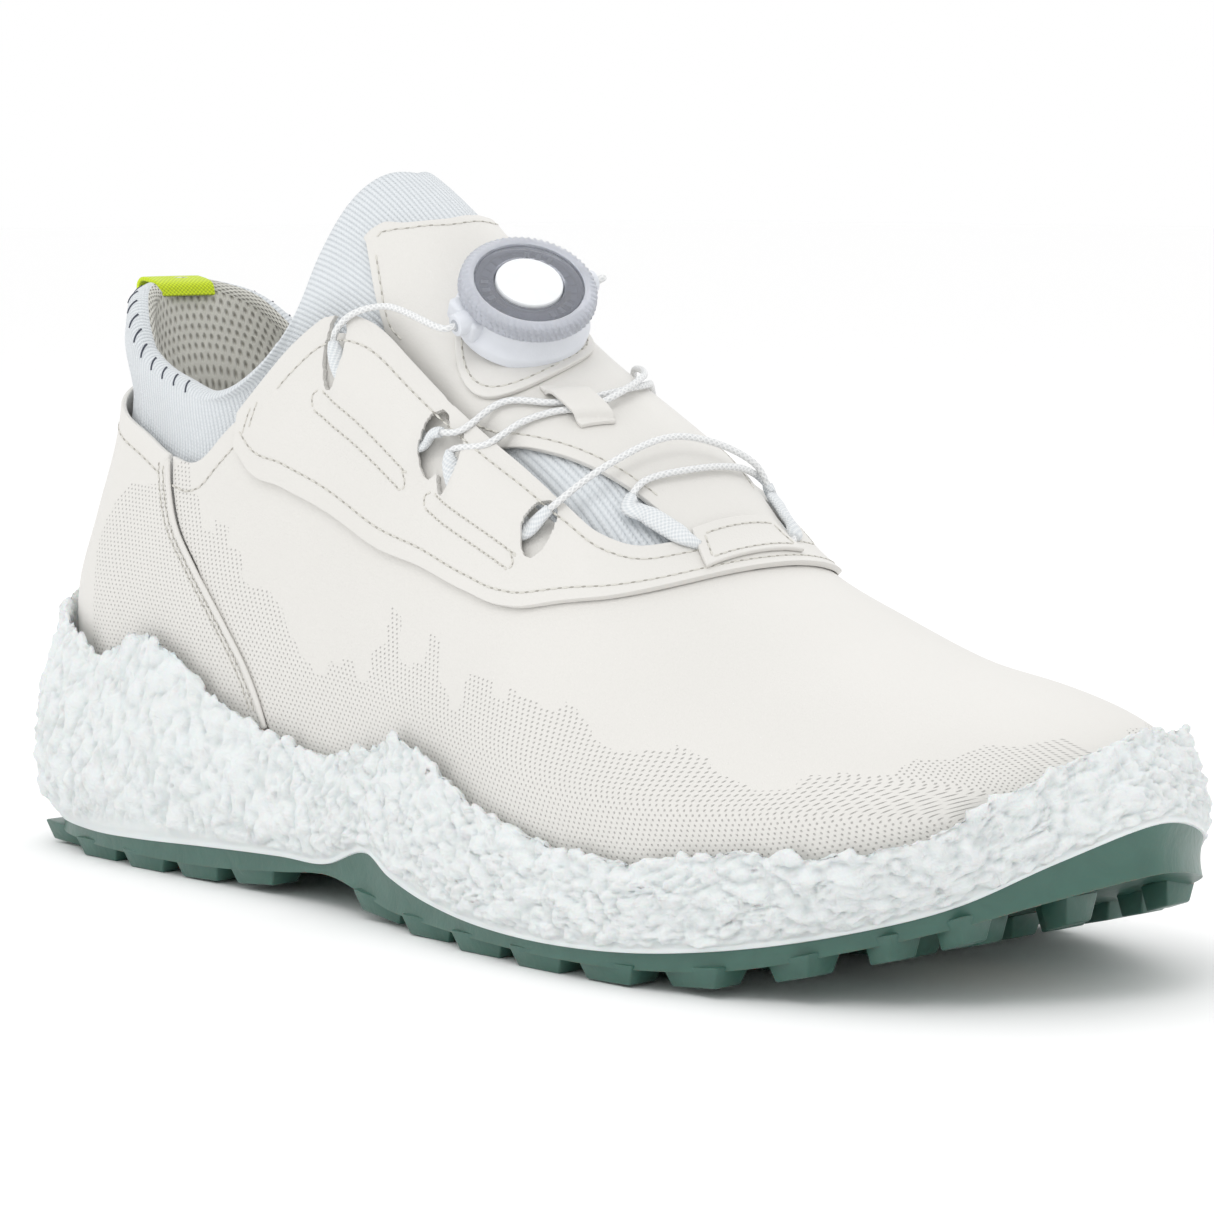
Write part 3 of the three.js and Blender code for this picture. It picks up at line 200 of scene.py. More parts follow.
def measured(u, v):
    """The flat position of a point of the surface, mm: its length round and its height up."""
    i = np.interp(u, MEASURE_U, np.arange(len(MEASURE_U)))
    j = np.interp(v, MEASURE_V, np.arange(len(MEASURE_V)))
    i0 = np.minimum(i.astype(int), len(MEASURE_U) - 2)
    j0 = np.minimum(j.astype(int), len(MEASURE_V) - 2)
    a, b = i - i0, j - j0

    def read(table):
        return mix(mix(table[i0, j0], table[i0 + 1, j0], a),
                   mix(table[i0, j0 + 1], table[i0 + 1, j0 + 1], a), b)

    return np.stack([read(LENGTHS), read(HEIGHTS)], -1)


# ---------------------------------------------------------------- lines of the upper's panels
# Height v of the leather's upper edge by station, and the heel seam's station by height.
LEATHER_EDGE = spline([[0, 0.53], [40, 0.49], [55, 0.46], [66, 0.435], [78, 0.43], [86, 0.46],
                       [96, 0.50], [106, 0.56], [114, 0.61], [124, 0.64], [154, 0.665],
                       [190, 0.68], [200, 0.72], [206, 0.82], [210, 0.92], [214, 0.95]])
HEEL_SEAM = spline([[0.0, 108], [0.20, 106], [0.25, 98], [0.29, 88], [0.33, 78], [0.36, 71.5],
                    [0.40, 67.5], [0.44, 66]])
THROAT_X = 55.0
TOE_END = 139.0

# The facing's outer edge and the throat's edge, as [station, height], back to front.
FACING_OUTER = [[91, 0.445], [97, 0.425], [108, 0.425], [122, 0.435], [138, 0.445],
                [154, 0.472], [170, 0.485], [180, 0.497], [187, 0.52], [196, 0.585],
                [204, 0.67], [210, 0.78]]
FACING_INNER = [[91, 0.480], [98, 0.520], [106, 0.575], [114, 0.630], [124, 0.665],
                [138, 0.678], [154, 0.690], [170, 0.694], [184, 0.698], [194, 0.715],
                [200, 0.765], [203, 0.840]]
FACING_OUTER_TIP = 213.5
FACING_INNER_TIP = 204.5


def seam_u(v):
    """Station of the heel's seam at a height."""
    return HEEL_SEAM(np.clip(v, 0, 0.44))


def edge_v(u):
    """Height of the leather's upper edge at a station."""
    return LEATHER_EDGE(np.abs(u))


def round_throat(sides, tip):
    """A curve from the lateral to the medial back corner, as x and w by a share from 0 to 1."""
    lateral = [[u + LAST_BOTTOM_X, -(1 - v)] for u, v in sides]
    medial = [[x, -w] for x, w in reversed(lateral)]
    points = np.array([*lateral, [tip + LAST_BOTTOM_X, 0.0], *medial])
    span = np.hypot(np.diff(points[:, 0]), V_MM * np.diff(points[:, 1]))
    share = np.concatenate([[0], np.cumsum(span)]) / span.sum()
    return spline([[s, p] for s, p in zip(share, points)])


# ---------------------------------------------------------------- materials
def linear(hex_colour):
    """Linear colour, with alpha, from an sRGB hex value."""
    channels = [int(hex_colour[i:i + 2], 16) / 255 for i in (1, 3, 5)]
    return [c / 12.92 if c <= 0.04045 else ((c + 0.055) / 1.055) ** 2.4 for c in channels] + [1.0]


def add(material, kind, settings=None, output=0):
    """Adds a node and gives one of its outputs. A setting's key is an attribute or an input, and
    its value is fixed or is the output of another node."""
    node = material.node_tree.nodes.new("ShaderNode" + kind)
    for key, value in (settings or {}).items():
        if isinstance(value, bpy.types.NodeSocket):
            material.node_tree.links.new(node.inputs[key], value)
        elif isinstance(key, str) and hasattr(node, key):
            setattr(node, key, value)
        else:
            node.inputs[key].default_value = value
    return node.outputs[output]


def finish_of(name, **settings):
    """A new material and its Principled shader with the given inputs."""
    material = bpy.data.materials.new(name)
    material.use_nodes = True
    shader = material.node_tree.nodes["Principled BSDF"]
    for key, value in settings.items():
        shader.inputs[key.replace("_", " ")].default_value = value
    return material, shader


def dressed(material, shader, colour, height, depth):
    """Gives the shader its colour and a relief of depth mm for a height from 0 to 1."""
    links = material.node_tree.links
    if colour is not None:
        links.new(shader.inputs["Base Color"], colour)
    if height is not None:
        relief = add(material, "Bump", {"Strength": 1.0, "Distance": depth * MM,
                                        "Height": height})
        links.new(shader.inputs["Normal"], relief)
    return material


def place_of(material, size):
    """Object coordinates scaled so that one unit is size mm."""
    return add(material, "VectorMath", {"operation": "SCALE", "Scale": 1000 / size,
                                        0: add(material, "TexCoord", output="Object")})


def flat_position(material):
    """Length and height on the surface, mm, from the piece's own map."""
    flat = add(material, "SeparateXYZ", {0: add(material, "TexCoord", output="UV")})
    return flat, flat.node.outputs[1]


def staggered_dots(material, pitch, row, radius, soft):
    """1 inside dots of a radius set in staggered rows, 0 outside, all in mm."""
    u, v = flat_position(material)
    line = add(material, "Math", {"operation": "DIVIDE", 0: v, 1: row})
    row_number = add(material, "Math", {"operation": "FLOOR", 0: line})
    odd = add(material, "Math", {"operation": "MODULO", 0: row_number, 1: 2.0})
    along = add(material, "Math", {"operation": "DIVIDE", 0: u, 1: pitch})
    column = add(material, "Math", {"operation": "MULTIPLY_ADD", 0: odd, 1: 0.5, 2: along})
    offsets = []
    for place, size in ((column, pitch), (line, row)):
        share = add(material, "Math", {"operation": "FRACT", 0: place})
        centred = add(material, "Math", {"operation": "SUBTRACT", 0: share, 1: 0.5})
        offset = add(material, "Math", {"operation": "MULTIPLY", 0: centred, 1: size})
        offsets.append(offset)
    corner = add(material, "CombineXYZ", {0: offsets[0], 1: offsets[1]})
    distance = add(material, "VectorMath", {"operation": "LENGTH", 0: corner}, "Value")
    return add(material, "MapRange", {"Value": distance, "From Min": radius + soft,
                                      "From Max": radius - soft})


def leather(name, colour, perforated=False):
    """Full-grain cowhide with a thin pigmented finish: a satin sheen over a fine tight grain."""
    material, shader = finish_of(name, Roughness=0.46, IOR=1.48, Specular_IOR_Level=0.42)
    pores = add(material, "TexVoronoi", {"feature": "DISTANCE_TO_EDGE", "Scale": 1.0,
                                         "Vector": place_of(material, 0.9)})
    wrinkles = add(material, "TexNoise", {"Scale": 1.0, "Detail": 4.0, "Roughness": 0.55,
                                          "Vector": place_of(material, 14.0)})
    cloud = add(material, "TexNoise", {"Scale": 1.0, "Detail": 2.0,
                                       "Vector": place_of(material, 40.0)})
    tint = add(material, "Math", {"operation": "MULTIPLY", 0: cloud, 1: 0.35})
    skin = add(material, "Mix", {"data_type": "RGBA", 0: tint, 6: linear(colour),
                                 7: linear("#d0cfca")}, 2)
    grain = add(material, "MapRange", {"Value": pores, "From Max": 0.25, "To Max": 0.12})
    height = add(material, "Math", {"operation": "ADD", 0: grain, 1: wrinkles})
    if perforated:
        # The real holes are finer than this: they are drawn as coarse as they need to show.
        dots = staggered_dots(material, 1.45, 0.92, 0.2, 0.09)
        depth = add(material, "Attribute", {"attribute_name": "perforation"}, "Fac")
        inside = add(material, "Math", {"operation": "GREATER_THAN", 0: depth, 1: 0.0})
        hole = add(material, "Math", {"operation": "MULTIPLY", 0: dots, 1: inside})
        shadow = add(material, "Math", {"operation": "MULTIPLY", 0: hole, 1: 0.6})
        skin = add(material, "Mix", {"data_type": "RGBA", 0: shadow, 6: skin,
                                     7: linear("#8b8a86")}, 2)
        pit = add(material, "Math", {"operation": "MULTIPLY", 0: hole, 1: 0.8})
        height = add(material, "Math", {"operation": "SUBTRACT", 0: height, 1: pit})
    return dressed(material, shader, skin, height, 0.16)


def ribbed_knit(name, colour):
    """Flat-knitted polyester: matt, in 1.1 mm ribs of small V stitches, fuzzy at grazing light."""
    material, shader = finish_of(name, Roughness=0.92, Sheen_Weight=0.35, Sheen_Roughness=0.5,
                                 Specular_IOR_Level=0.2)
    u, v = flat_position(material)
    columns = add(material, "Math", {"operation": "DIVIDE", 0: u, 1: 1.1})
    column = add(material, "Math", {"operation": "FRACT", 0: columns})
    centred = add(material, "Math", {"operation": "SUBTRACT", 0: column, 1: 0.5})
    off_centre = add(material, "Math", {"operation": "ABSOLUTE", 0: centred})
    rib = add(material, "Math", {"operation": "MULTIPLY_ADD", 0: off_centre, 1: -2.0, 2: 1.0})
    raised = add(material, "Math", {"operation": "POWER", 0: rib, 1: 0.6})
    course = add(material, "Math", {"operation": "DIVIDE", 0: v, 1: 0.85})
    slanted = add(material, "Math", {"operation": "ADD", 0: course, 1: off_centre})
    turn = add(material, "Math", {"operation": "MULTIPLY", 0: slanted, 1: 2 * math.pi})
    stitch = add(material, "Math", {"operation": "SINE", 0: turn})
    height = add(material, "Math", {"operation": "MULTIPLY_ADD", 0: stitch, 1: 0.18, 2: raised})
    fuzz = add(material, "TexNoise", {"Scale": 1.0, "Detail": 3.0,
                                      "Vector": place_of(material, 2.6)})
    # Painted shade: the grooves between the ribs are darkened towards the grey; fuzz noise adds a
    # little random patchiness of the same grey.
    shade = add(material, "Math", {"operation": "MULTIPLY_ADD", 0: raised, 1: -0.5, 2: 0.5})
    groove_shade_and_fuzz = add(material, "Math", {"operation": "MULTIPLY_ADD", 0: fuzz, 1: 0.12, 2: shade})
    yarn = add(material, "Mix", {"data_type": "RGBA", 0: groove_shade_and_fuzz, 6: linear(colour),
                                 7: linear("#b3bbc1")}, 2)
    return dressed(material, shader, yarn, height, 0.22)


def spacer_mesh(name, colour):
    """Warp-knitted spacer fabric: matt cream with staggered deep eyelets 2.5 mm apart."""
    material, shader = finish_of(name, Roughness=0.95, Sheen_Weight=0.3, Specular_IOR_Level=0.2)
    eyelet = staggered_dots(material, 2.5, 1.7, 0.42, 0.34)
    u, _ = flat_position(material)
    turn = add(material, "Math", {"operation": "MULTIPLY", 0: u, 1: 2 * math.pi / 0.5})
    yarn = add(material, "Math", {"operation": "SINE", 0: turn})
    shadow = add(material, "Math", {"operation": "MULTIPLY", 0: eyelet, 1: 0.8})
    shade = add(material, "Mix", {"data_type": "RGBA", 0: shadow, 6: linear(colour),
                                  7: linear("#7d796b")}, 2)
    ridge = add(material, "Math", {"operation": "MULTIPLY", 0: yarn, 1: 0.07})
    height = add(material, "Math", {"operation": "SUBTRACT", 0: ridge, 1: eyelet})
    return dressed(material, shader, shade, height, 0.55)


def cast_foam(name, colour):
    """Direct-injected polyurethane foam with a matt, stone-like skin and painted shade in its
    creases.
    """
    material, shader = finish_of(name, Roughness=0.62, IOR=1.45, Specular_IOR_Level=0.35,
                                 Subsurface_Weight=0.12, Subsurface_Scale=0.002)
    crease_shade = add(material, "Attribute", {"attribute_name": "crease_shade"}, "Fac")
    smooth = add(material, "Attribute", {"attribute_name": "smooth"}, "Fac")
    coarse = add(material, "TexNoise", {"Scale": 1.0, "Detail": 5.0, "Roughness": 0.6,
                                        "Distortion": 0.6, "Vector": place_of(material, 3.4)})
    fine = add(material, "TexVoronoi", {"Scale": 1.0, "Vector": place_of(material, 1.6)})
    shadow = add(material, "Math", {"operation": "MULTIPLY", 0: crease_shade, 1: 0.7})
    shade = add(material, "Mix", {"data_type": "RGBA", 0: shadow, 6: linear(colour),
                                  7: linear("#b9c0c0")}, 2)
    rough = add(material, "Math", {"operation": "MULTIPLY_ADD", 0: fine, 1: 0.12, 2: coarse})
    kept = add(material, "Math", {"operation": "SUBTRACT", 0: 1.0, 1: smooth})
    height = add(material, "Math", {"operation": "MULTIPLY", 0: rough, 1: kept})
    return dressed(material, shader, shade, height, 0.85)


def green_rubber(name, colour):
    """Injected TPU: dense, a little cloudy and waxy, with moulded flow marks."""
    material, shader = finish_of(name, Roughness=0.34, IOR=1.5, Subsurface_Weight=0.18,
                                 Subsurface_Scale=0.003, Coat_Weight=0.12, Coat_Roughness=0.3)
    flow = add(material, "TexNoise", {"Scale": 1.0, "Detail": 5.0, "Distortion": 1.2,
                                      "Vector": place_of(material, 9.0)})
    fine = add(material, "TexNoise", {"Scale": 1.0, "Detail": 2.0,
                                      "Vector": place_of(material, 1.2)})
    tint = add(material, "Mix", {"data_type": "RGBA", 0: flow, 6: linear(colour),
                                 7: linear("#416a5e")}, 2)
    height = add(material, "Math", {"operation": "MULTIPLY_ADD", 0: fine, 1: 0.2, 2: flow})
    return dressed(material, shader, tint, height, 0.25)


def woven(name, colour, shadow, depth, pitches, crossing, shading, **settings):
    """A weave or braid whose height comes from a wave along u and a wave round v, mm."""
    material, shader = finish_of(name, **settings)
    waves = [add(material, "Math", {"operation": "MULTIPLY", 0: place, 1: 2 * math.pi / pitch})
             for place, pitch in zip(flat_position(material), pitches)]
    height = crossing(material, *waves)
    low = add(material, "Math", {"operation": "SUBTRACT", 0: 1.0, 1: height})
    shade = add(material, "Math", {"operation": "MULTIPLY", 0: low, 1: shading})
    tone = add(material, "Mix", {"data_type": "RGBA", 0: shade, 6: linear(colour),
                                 7: linear(shadow)}, 2)
    return dressed(material, shader, tone, height, depth)


def over_under(material, run, turn):
    """Square weave: the two threads pass over and under each other."""
    warp = add(material, "Math", {"operation": "SINE", 0: run})
    weft = add(material, "Math", {"operation": "SINE", 0: turn})
    weave = add(material, "Math", {"operation": "MULTIPLY", 0: warp, 1: weft})
    return add(material, "Math", {"operation": "MULTIPLY_ADD", 0: weave, 1: 0.5, 2: 0.5})


def herringbone(material, run, turn):
    """Braid: two sets of strands wind round the cord in opposite ways."""
    strands = []
    for way in ("ADD", "SUBTRACT"):
        slant = add(material, "Math", {"operation": way, 0: run, 1: turn})
        strands.append(add(material, "Math", {"operation": "SINE", 0: slant}))
    return add(material, "Math", {"operation": "MAXIMUM", 0: strands[0], 1: strands[1]})


def webbing(name, colour, shadow):
    """Woven polyester tape: matt, with cross ribs every 0.9 mm and a fine warp."""
    return woven(name, colour, shadow, 0.14, (0.9, 1.1), over_under, 0.7, Roughness=0.8,
                 Sheen_Weight=0.2, Specular_IOR_Level=0.3)


def braided_cord(name, colour):
    """Braided polyester cord: a satin herringbone of strands that cross every 1.4 mm."""
    return woven(name, colour, "#b4b8bb", 0.09, (1.4, 1.1), herringbone, 0.2, Roughness=0.6,
                 Sheen_Weight=0.15, Specular_IOR_Level=0.4)


def clouded(name, colour, shadow, share, depth, textures, **settings):
    """A plain finish that drifts towards a shadow colour, with a fine relief. The textures, the
    drift's and then the relief's, are each a size in mm and its further settings."""
    material, shader = finish_of(name, **settings)
    drift, *relief = [add(material, "TexNoise", {"Scale": 1.0, **further,
                                                 "Vector": place_of(material, size)})
                      for size, further in textures]
    tint = add(material, "Math", {"operation": "MULTIPLY", 0: drift, 1: share})
    tone = add(material, "Mix", {"data_type": "RGBA", 0: tint, 6: linear(colour),
                                 7: linear(shadow)}, 2)
    return dressed(material, shader, tone, relief[0] if relief else None, depth)


def thread(name, colour, gap):
    """Bonded polyester thread: a soft satin twist whose tone drifts at random towards the second
    colour. In dark greys the same finish is the painted shade of the stitch holes.
    """
    return clouded(name, colour, gap, 0.5, 0.0, [(0.5, {"Detail": 1.0})],
                   Roughness=0.65, Specular_IOR_Level=0.35)


def moulded(name, colour, roughness, grain=0.03, **settings):
    """Injection-moulded plastic: even colour, faint cloudiness and a fine spark-eroded grain."""
    textures = [(3.0, {"Detail": 2.0}), (0.35, {"Detail": 2.0})]
    return clouded(name, colour, "#8f959c", 0.12, grain, textures, Roughness=roughness,
                   **settings)


def lining_board(name, colour):
    """Pressed fibre board or cloth-covered foam: matt with short visible fibres."""
    textures = [(1.8, {"Detail": 6.0, "Distortion": 1.5})] * 2
    return clouded(name, colour, "#8c8a84", 1.0, 0.15, textures, Roughness=0.9,
                   Specular_IOR_Level=0.2)


def turned_steel(name):
    """Zinc-plated steel, turned: fine concentric tool marks under a soft shine."""
    material, shader = finish_of(name, Metallic=1.0, Roughness=0.32, Base_Color=linear("#b9bcc0"))
    marks = add(material, "TexNoise", {"Scale": 1.0, "Detail": 4.0,
                                       "Vector": place_of(material, 0.4)})
    return dressed(material, shader, None, marks, 0.02)


# ---------------------------------------------------------------- modelling
def lay_grid(bm, columns, rows, place):
    """Adds a grid laid by place(s, t), which gives points, outward directions and a flat
    position, all in mm, for two shares from 0 to 1."""
    verts = bmesh.ops.create_grid(bm, x_segments=columns, y_segments=rows, size=0.5)["verts"]
    shares = np.array([v.co.xy for v in verts]) + 0.5
    points, out, flat = place(shares[:, 0], shares[:, 1])
    index = {v: i for i, v in enumerate(verts)}
    for v, p in zip(verts, points):
        v.co = p * MM
    bm.normal_update()
    layer = bm.loops.layers.uv.verify()
    faces = list({f for v in verts for f in v.link_faces})
    facing = sum(f.normal.dot(Vector(out[index[f.verts[0]]])) for f in faces)
    for face in faces:
        for loop in face.loops:
            loop[layer].uv = flat[index[loop.vert]]
    if facing < 0:
        bmesh.ops.reverse_faces(bm, faces=faces)
    return verts


def on_last(u, v, lift):
    """Points, outward directions and flat positions on the last surface."""
    normal = last_normal(u, v)
    lift = np.broadcast_to(np.asarray(lift, float), np.shape(u))
    return last_point(u, v) + normal * lift[..., None], normal, measured(u, v)


def piece(name, bm, material, body="shoe", replaces=(), smooth=True, weld=0.02):
    """Turns a bmesh into a finished object that rides on a body and stands for CAD nodes."""
    if weld:
        bmesh.ops.remove_doubles(bm, verts=bm.verts, dist=weld * MM)
    mesh = bpy.data.meshes.new(name)
    bm.to_mesh(mesh)
    bm.free()
    for polygon in mesh.polygons:
        polygon.use_smooth = smooth
    mesh.materials.append(material)
    obj = bpy.data.objects.new(name, mesh)
    bpy.context.scene.collection.objects.link(obj)
    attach(obj, body)
    if replaces:
        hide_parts(*replaces)
    return obj


def walled(obj, thickness, rounding=0.35):
    """Gives a sheet its thickness, inward, and rounded edges. Sizes in mm."""
    wall = obj.modifiers.new("Wall", "SOLIDIFY")
    wall.thickness = thickness * MM
    wall.offset = -1
    if rounding:
        edge = obj.modifiers.new("Edge", "BEVEL")
        edge.width = rounding * MM
        edge.segments = 3
        edge.limit_method = "ANGLE"
        edge.angle_limit = math.radians(50)
    return obj


def stitch_template():
    """The mesh of one unit stitch, lying along x."""
    bm = bmesh.new()
    bmesh.ops.create_uvsphere(bm, u_segments=8, v_segments=5, radius=1,
                              matrix=Matrix.Rotation(math.pi / 2, 4, "Y"))
    template = bpy.data.meshes.new("stitch")
    bm.to_mesh(template)
    bm.free()
    return template


STITCH_FLAT = 0.5    # height of a stitch over its width


def sewn(bm, template, line, pitch, length, radius, zigzag=0.0, phase=0.0):
    """Adds a row of stitches along a line of points and normals on a surface. Sizes in mm, and
    zigzag is the turn of each stitch, degrees, to one side and the other."""
    points, normals = line
    step = np.linalg.norm(np.diff(points, axis=0), axis=1)
    run = np.concatenate([[0], np.cumsum(step)])
    count = max(int(round(run[-1] / pitch)), 1)
    marks = (np.arange(count) + 0.5 + phase) * run[-1] / count
    marks = marks[marks < run[-1]]

    def read(values, shift=0.0):
        return np.stack([np.interp(marks + shift, run, values[:, k]) for k in range(3)], -1)

    for i, (place, ahead, back, normal) in enumerate(
            zip(read(points), read(points, 0.2), read(points, -0.2), read(normals))):
        z = Vector(normal).normalized()
        x = Vector(ahead - back).normalized()
        y = z.cross(x).normalized()
        if zigzag:
            turn = Matrix.Rotation(math.radians(zigzag if i % 2 else -zigzag), 3, z)
            x, y = turn @ x, turn @ y
        lie = Matrix((x, y, z)).transposed().to_4x4()
        lie.translation = Vector(place) * MM
        size = Matrix.Diagonal((length / 2 * MM, radius * MM, radius * STITCH_FLAT * MM, 1))
        stitch = template.copy()
        stitch.transform(lie @ size)
        bm.from_mesh(stitch)
        bpy.data.meshes.remove(stitch)


def swept(bm, path, half_width, half_height, side_of, sides):
    """Adds a tube of oval section along a path. side_of gives the section's wide direction."""
    path = np.asarray(path, float)
    tangent = np.gradient(path, axis=0)
    tangent /= np.linalg.norm(tangent, axis=1, keepdims=True)
    wide = side_of - tangent * np.sum(side_of * tangent, axis=1, keepdims=True)
    wide /= np.linalg.norm(wide, axis=1, keepdims=True)
    high = np.cross(tangent, wide)
    run = np.concatenate([[0], np.cumsum(np.linalg.norm(np.diff(path, axis=0), axis=1))])
    count = len(path) - 1
    half_width = np.broadcast_to(half_width, len(path))
    half_height = np.broadcast_to(half_height, len(path))

    def place(s, t):
        i = np.rint(s * count).astype(int)
        angle = 2 * math.pi * t
        out = (wide[i] * np.cos(angle)[:, None] * half_width[i][:, None]
               + high[i] * np.sin(angle)[:, None] * half_height[i][:, None])
        round_it = t * math.pi * (half_width[i] + half_height[i])
        return path[i] + out, out, np.stack([run[i], round_it], -1)

    lay_grid(bm, count, sides, place)
    bmesh.ops.remove_doubles(bm, verts=bm.verts, dist=0.001 * MM)
    rims = [e for e in bm.edges if e.is_boundary]
    bmesh.ops.holes_fill(bm, edges=rims, sides=0)


def through(points, count):
    """Evenly spaced points on the smooth curve through the given ones, and their places."""
    points = np.asarray(points, float)
    gaps = np.sqrt(np.linalg.norm(np.diff(points, axis=0), axis=1))
    knots = np.concatenate([[0], np.cumsum(gaps)])
    curve = spline([[k, p] for k, p in zip(knots, points)])
    fine = curve(np.linspace(0, knots[-1], 40 * len(points)))
    run = np.concatenate([[0], np.cumsum(np.linalg.norm(np.diff(fine, axis=0), axis=1))])
    even = np.linspace(0, run[-1], count)
    return np.stack([np.interp(even, run, fine[:, k]) for k in range(3)], -1), run[-1]


# ---------------------------------------------------------------- the sole's lines, mm
# Stations round the sole from the back of the heel, up the lateral side, to the medial side:
# plan x and y, height of the lugs' tips, height of the rim, then the station and height on the
# last that the foam's edge reaches, and how far the foam's wall bulges.
SOLE_ROWS = np.array([
    [-145.5, 0, 3.5, 7.5, 0, 0.30, 6.5],
    [-141.5, -17, 2, 7, -15, 0.285, 6.5],
    [-132, -31, 0.5, 6.5, -32, 0.27, 6],
    [-112, -37.5, 0, 6.2, -47, 0.25, 4],
    [-92, -39.5, 0, 6.8, -66, 0.272, 3],
    [-68, -40, 0.5, 8, -90, 0.232, 2.5],
    [-44, -40.5, 2.5, 9, -114, 0.212, 2],
    [-28, -41.5, 4, 8, -130, 0.21, 2],
    [-13, -44, 2, 14, -148, 0.245, 1.5],
    [-2, -46.5, 0.5, 10.5, -156, 0.272, 1.5],
    [12, -49, 0, 7.5, -170, 0.255, 2],
    [32, -53, 0, 6, -189, 0.215, 2],
    [54, -55, 0, 5.8, -213, 0.18, 1.5],
    [76, -54, 0.6, 7, -234, 0.17, 1.5],
    [96, -48.5, 2.6, 9.6, -254, 0.2, 1.5],
    [114, -39.5, 7, 13.5, -272, 0.19, 1.5],
    [130, -27.5, 12, 19, -286, 0.22, 1.2],
    [142, -13, 17, 27, -294.5, 0.5, 1.2],
    [150, 6, 20.5, 33, -295.5, 0.97, 1],
    [143, 27, 17, 28, 290, 0.62, 1],
    [130, 38.5, 12, 20, 284, 0.4, 1.2],
    [114, 46, 7, 13.5, 271, 0.28, 1.5],
    [96, 51, 2.6, 9.6, 254, 0.24, 1.5],
    [76, 53, 0.6, 7, 234, 0.22, 1.5],
    [54, 51, 0, 6, 212, 0.23, 1.5],
    [32, 46, 0, 6, 190, 0.25, 2],
    [12, 40, 0, 7.5, 170, 0.27, 2],
    [-2, 36.5, 0.5, 10, 156, 0.27, 2],
    [-13, 34.5, 2, 12.5, 145, 0.26, 2],
    [-28, 33.5, 4, 9, 130, 0.24, 2],
    [-44, 34, 2.5, 9, 114, 0.235, 2],
    [-68, 36, 0.5, 8, 90, 0.25, 2.5],
    [-92, 37.5, 0, 6.8, 66, 0.272, 3.5],
    [-112, 36.5, 0, 6.2, 47, 0.255, 4],
    [-132, 29.5, 0.5, 6.5, 32, 0.27, 6],
    [-141.5, 17, 2, 7, 15, 0.285, 6.5],
])
PLATE = 2.2
LUG_HEIGHT = 3.2
LUG_LENGTH, LUG_WIDTH, LUG_TAPER, LUG_SPACE = 15.0, 9.0, 0.76, 3.4
LUG_ROWS = [-130, -111, -92, -73, -54, -8, 11, 30, 49, 68, 87, 105, 119, 129]
FOAM_LIP = 2.1       # how far the foam's top edge stands off the leather


def looped(values):
    """A smooth closed curve through the sole's rows, by a share from 0 to 1."""
    values = np.asarray(values, float)
    n = len(values)

    def curve(share):
        at = (np.asarray(share, float) % 1.0) * n
        i = np.floor(at).astype(int) % n
        t = at - np.floor(at)
        a, b, c, d = (values[(i + k) % n] for k in (-1, 0, 1, 2))
        t = t[..., None] if values.ndim > 1 else t
        return b + 0.5 * t * (c - a + t * (2 * a - 5 * b + 4 * c - d + t * (3 * (b - c) + d - a)))

    return curve


def sole_lines():
    """The closed curves of the sole: rim, foam edge, foam hollow, bulge and lug tips."""
    rows = SOLE_ROWS
    ground = rows[:, 2]
    seat = ground + LUG_HEIGHT + PLATE
    rim = np.stack([rows[:, 0], rows[:, 1], np.maximum(rows[:, 3], seat)], -1) + LAST_ORIGIN
    gap = 0.8 + 0.3 * ease((rows[:, 0] - 95) / 40)
    edge = lifted(rows[:, 4], rows[:, 5], gap + FOAM_LIP)
    hollow = lifted(rows[:, 4], rows[:, 5] - 0.06, np.zeros(len(rows)))
    return {
        "rim": looped(rim), "edge": looped(edge), "hollow": looped(hollow),
        "bulge": looped(rows[:, 6]), "ground": looped(ground), "seat": looped(seat),
    }


SOLE = sole_lines()


def sole_out(share):
    """Outward directions in plan, round the rim."""
    step = SOLE["rim"](share + 0.002) - SOLE["rim"](share - 0.002)
    out = np.stack([step[..., 1], -step[..., 0], np.zeros(np.shape(share))], -1)
    return -out / np.linalg.norm(out, axis=-1, keepdims=True)


def spine_of(points):
    """The nearest points of the sole's middle line, in plan."""
    x = np.clip(points[..., 0], -104, 96)
    y = LAST_ORIGIN[1] + np.interp(x, [-104, 0, 60, 96], [-1, -3, -1, 2])
    return np.stack([x, y, points[..., 2]], -1)


# ---------------------------------------------------------------- sizes and colours
class ShoeSizes(bpy.types.PropertyGroup):
    """Sizes of the upper's finished surfaces."""

    leather: FloatProperty(name="Leather", description="Thickness of the leather panels",
                           default=0.0012, min=0.0006, max=0.003, unit="LENGTH")
    relief: FloatProperty(name="Foam relief", description="Height of the foam's stone-like relief",
                          default=0.0021, min=0.0, max=0.003, unit="LENGTH")
    stitch: FloatProperty(name="Stitch length", description="Distance from stitch to stitch",
                          default=0.0024, min=0.0015, max=0.005, unit="LENGTH")
    lace: FloatProperty(name="Lace", description="Diameter of the braided lace",
                        default=0.0014, min=0.001, max=0.0016, unit="LENGTH")


class ShoeColours(bpy.types.PropertyGroup):
    """sRGB hex colours of the finished surfaces."""

    leather: StringProperty(name="Leather", description="White of the leather", default="#dedcd8")
    knit: StringProperty(name="Knit", description="White of the knit", default="#e2e6e9")
    lining: StringProperty(name="Lining", description="Cream of the lining", default="#d6d5cd")
    foam: StringProperty(name="Foam", description="White of the foam", default="#e2e6e6")
    sole: StringProperty(name="Sole", description="Green of the outsole", default="#33564c")
    tab: StringProperty(name="Pull tab", description="Lime of the pull tab", default="#d9ee1e")
    thread: StringProperty(name="Thread", description="White of the thread", default="#d3d1ca")


MATERIALS = {}


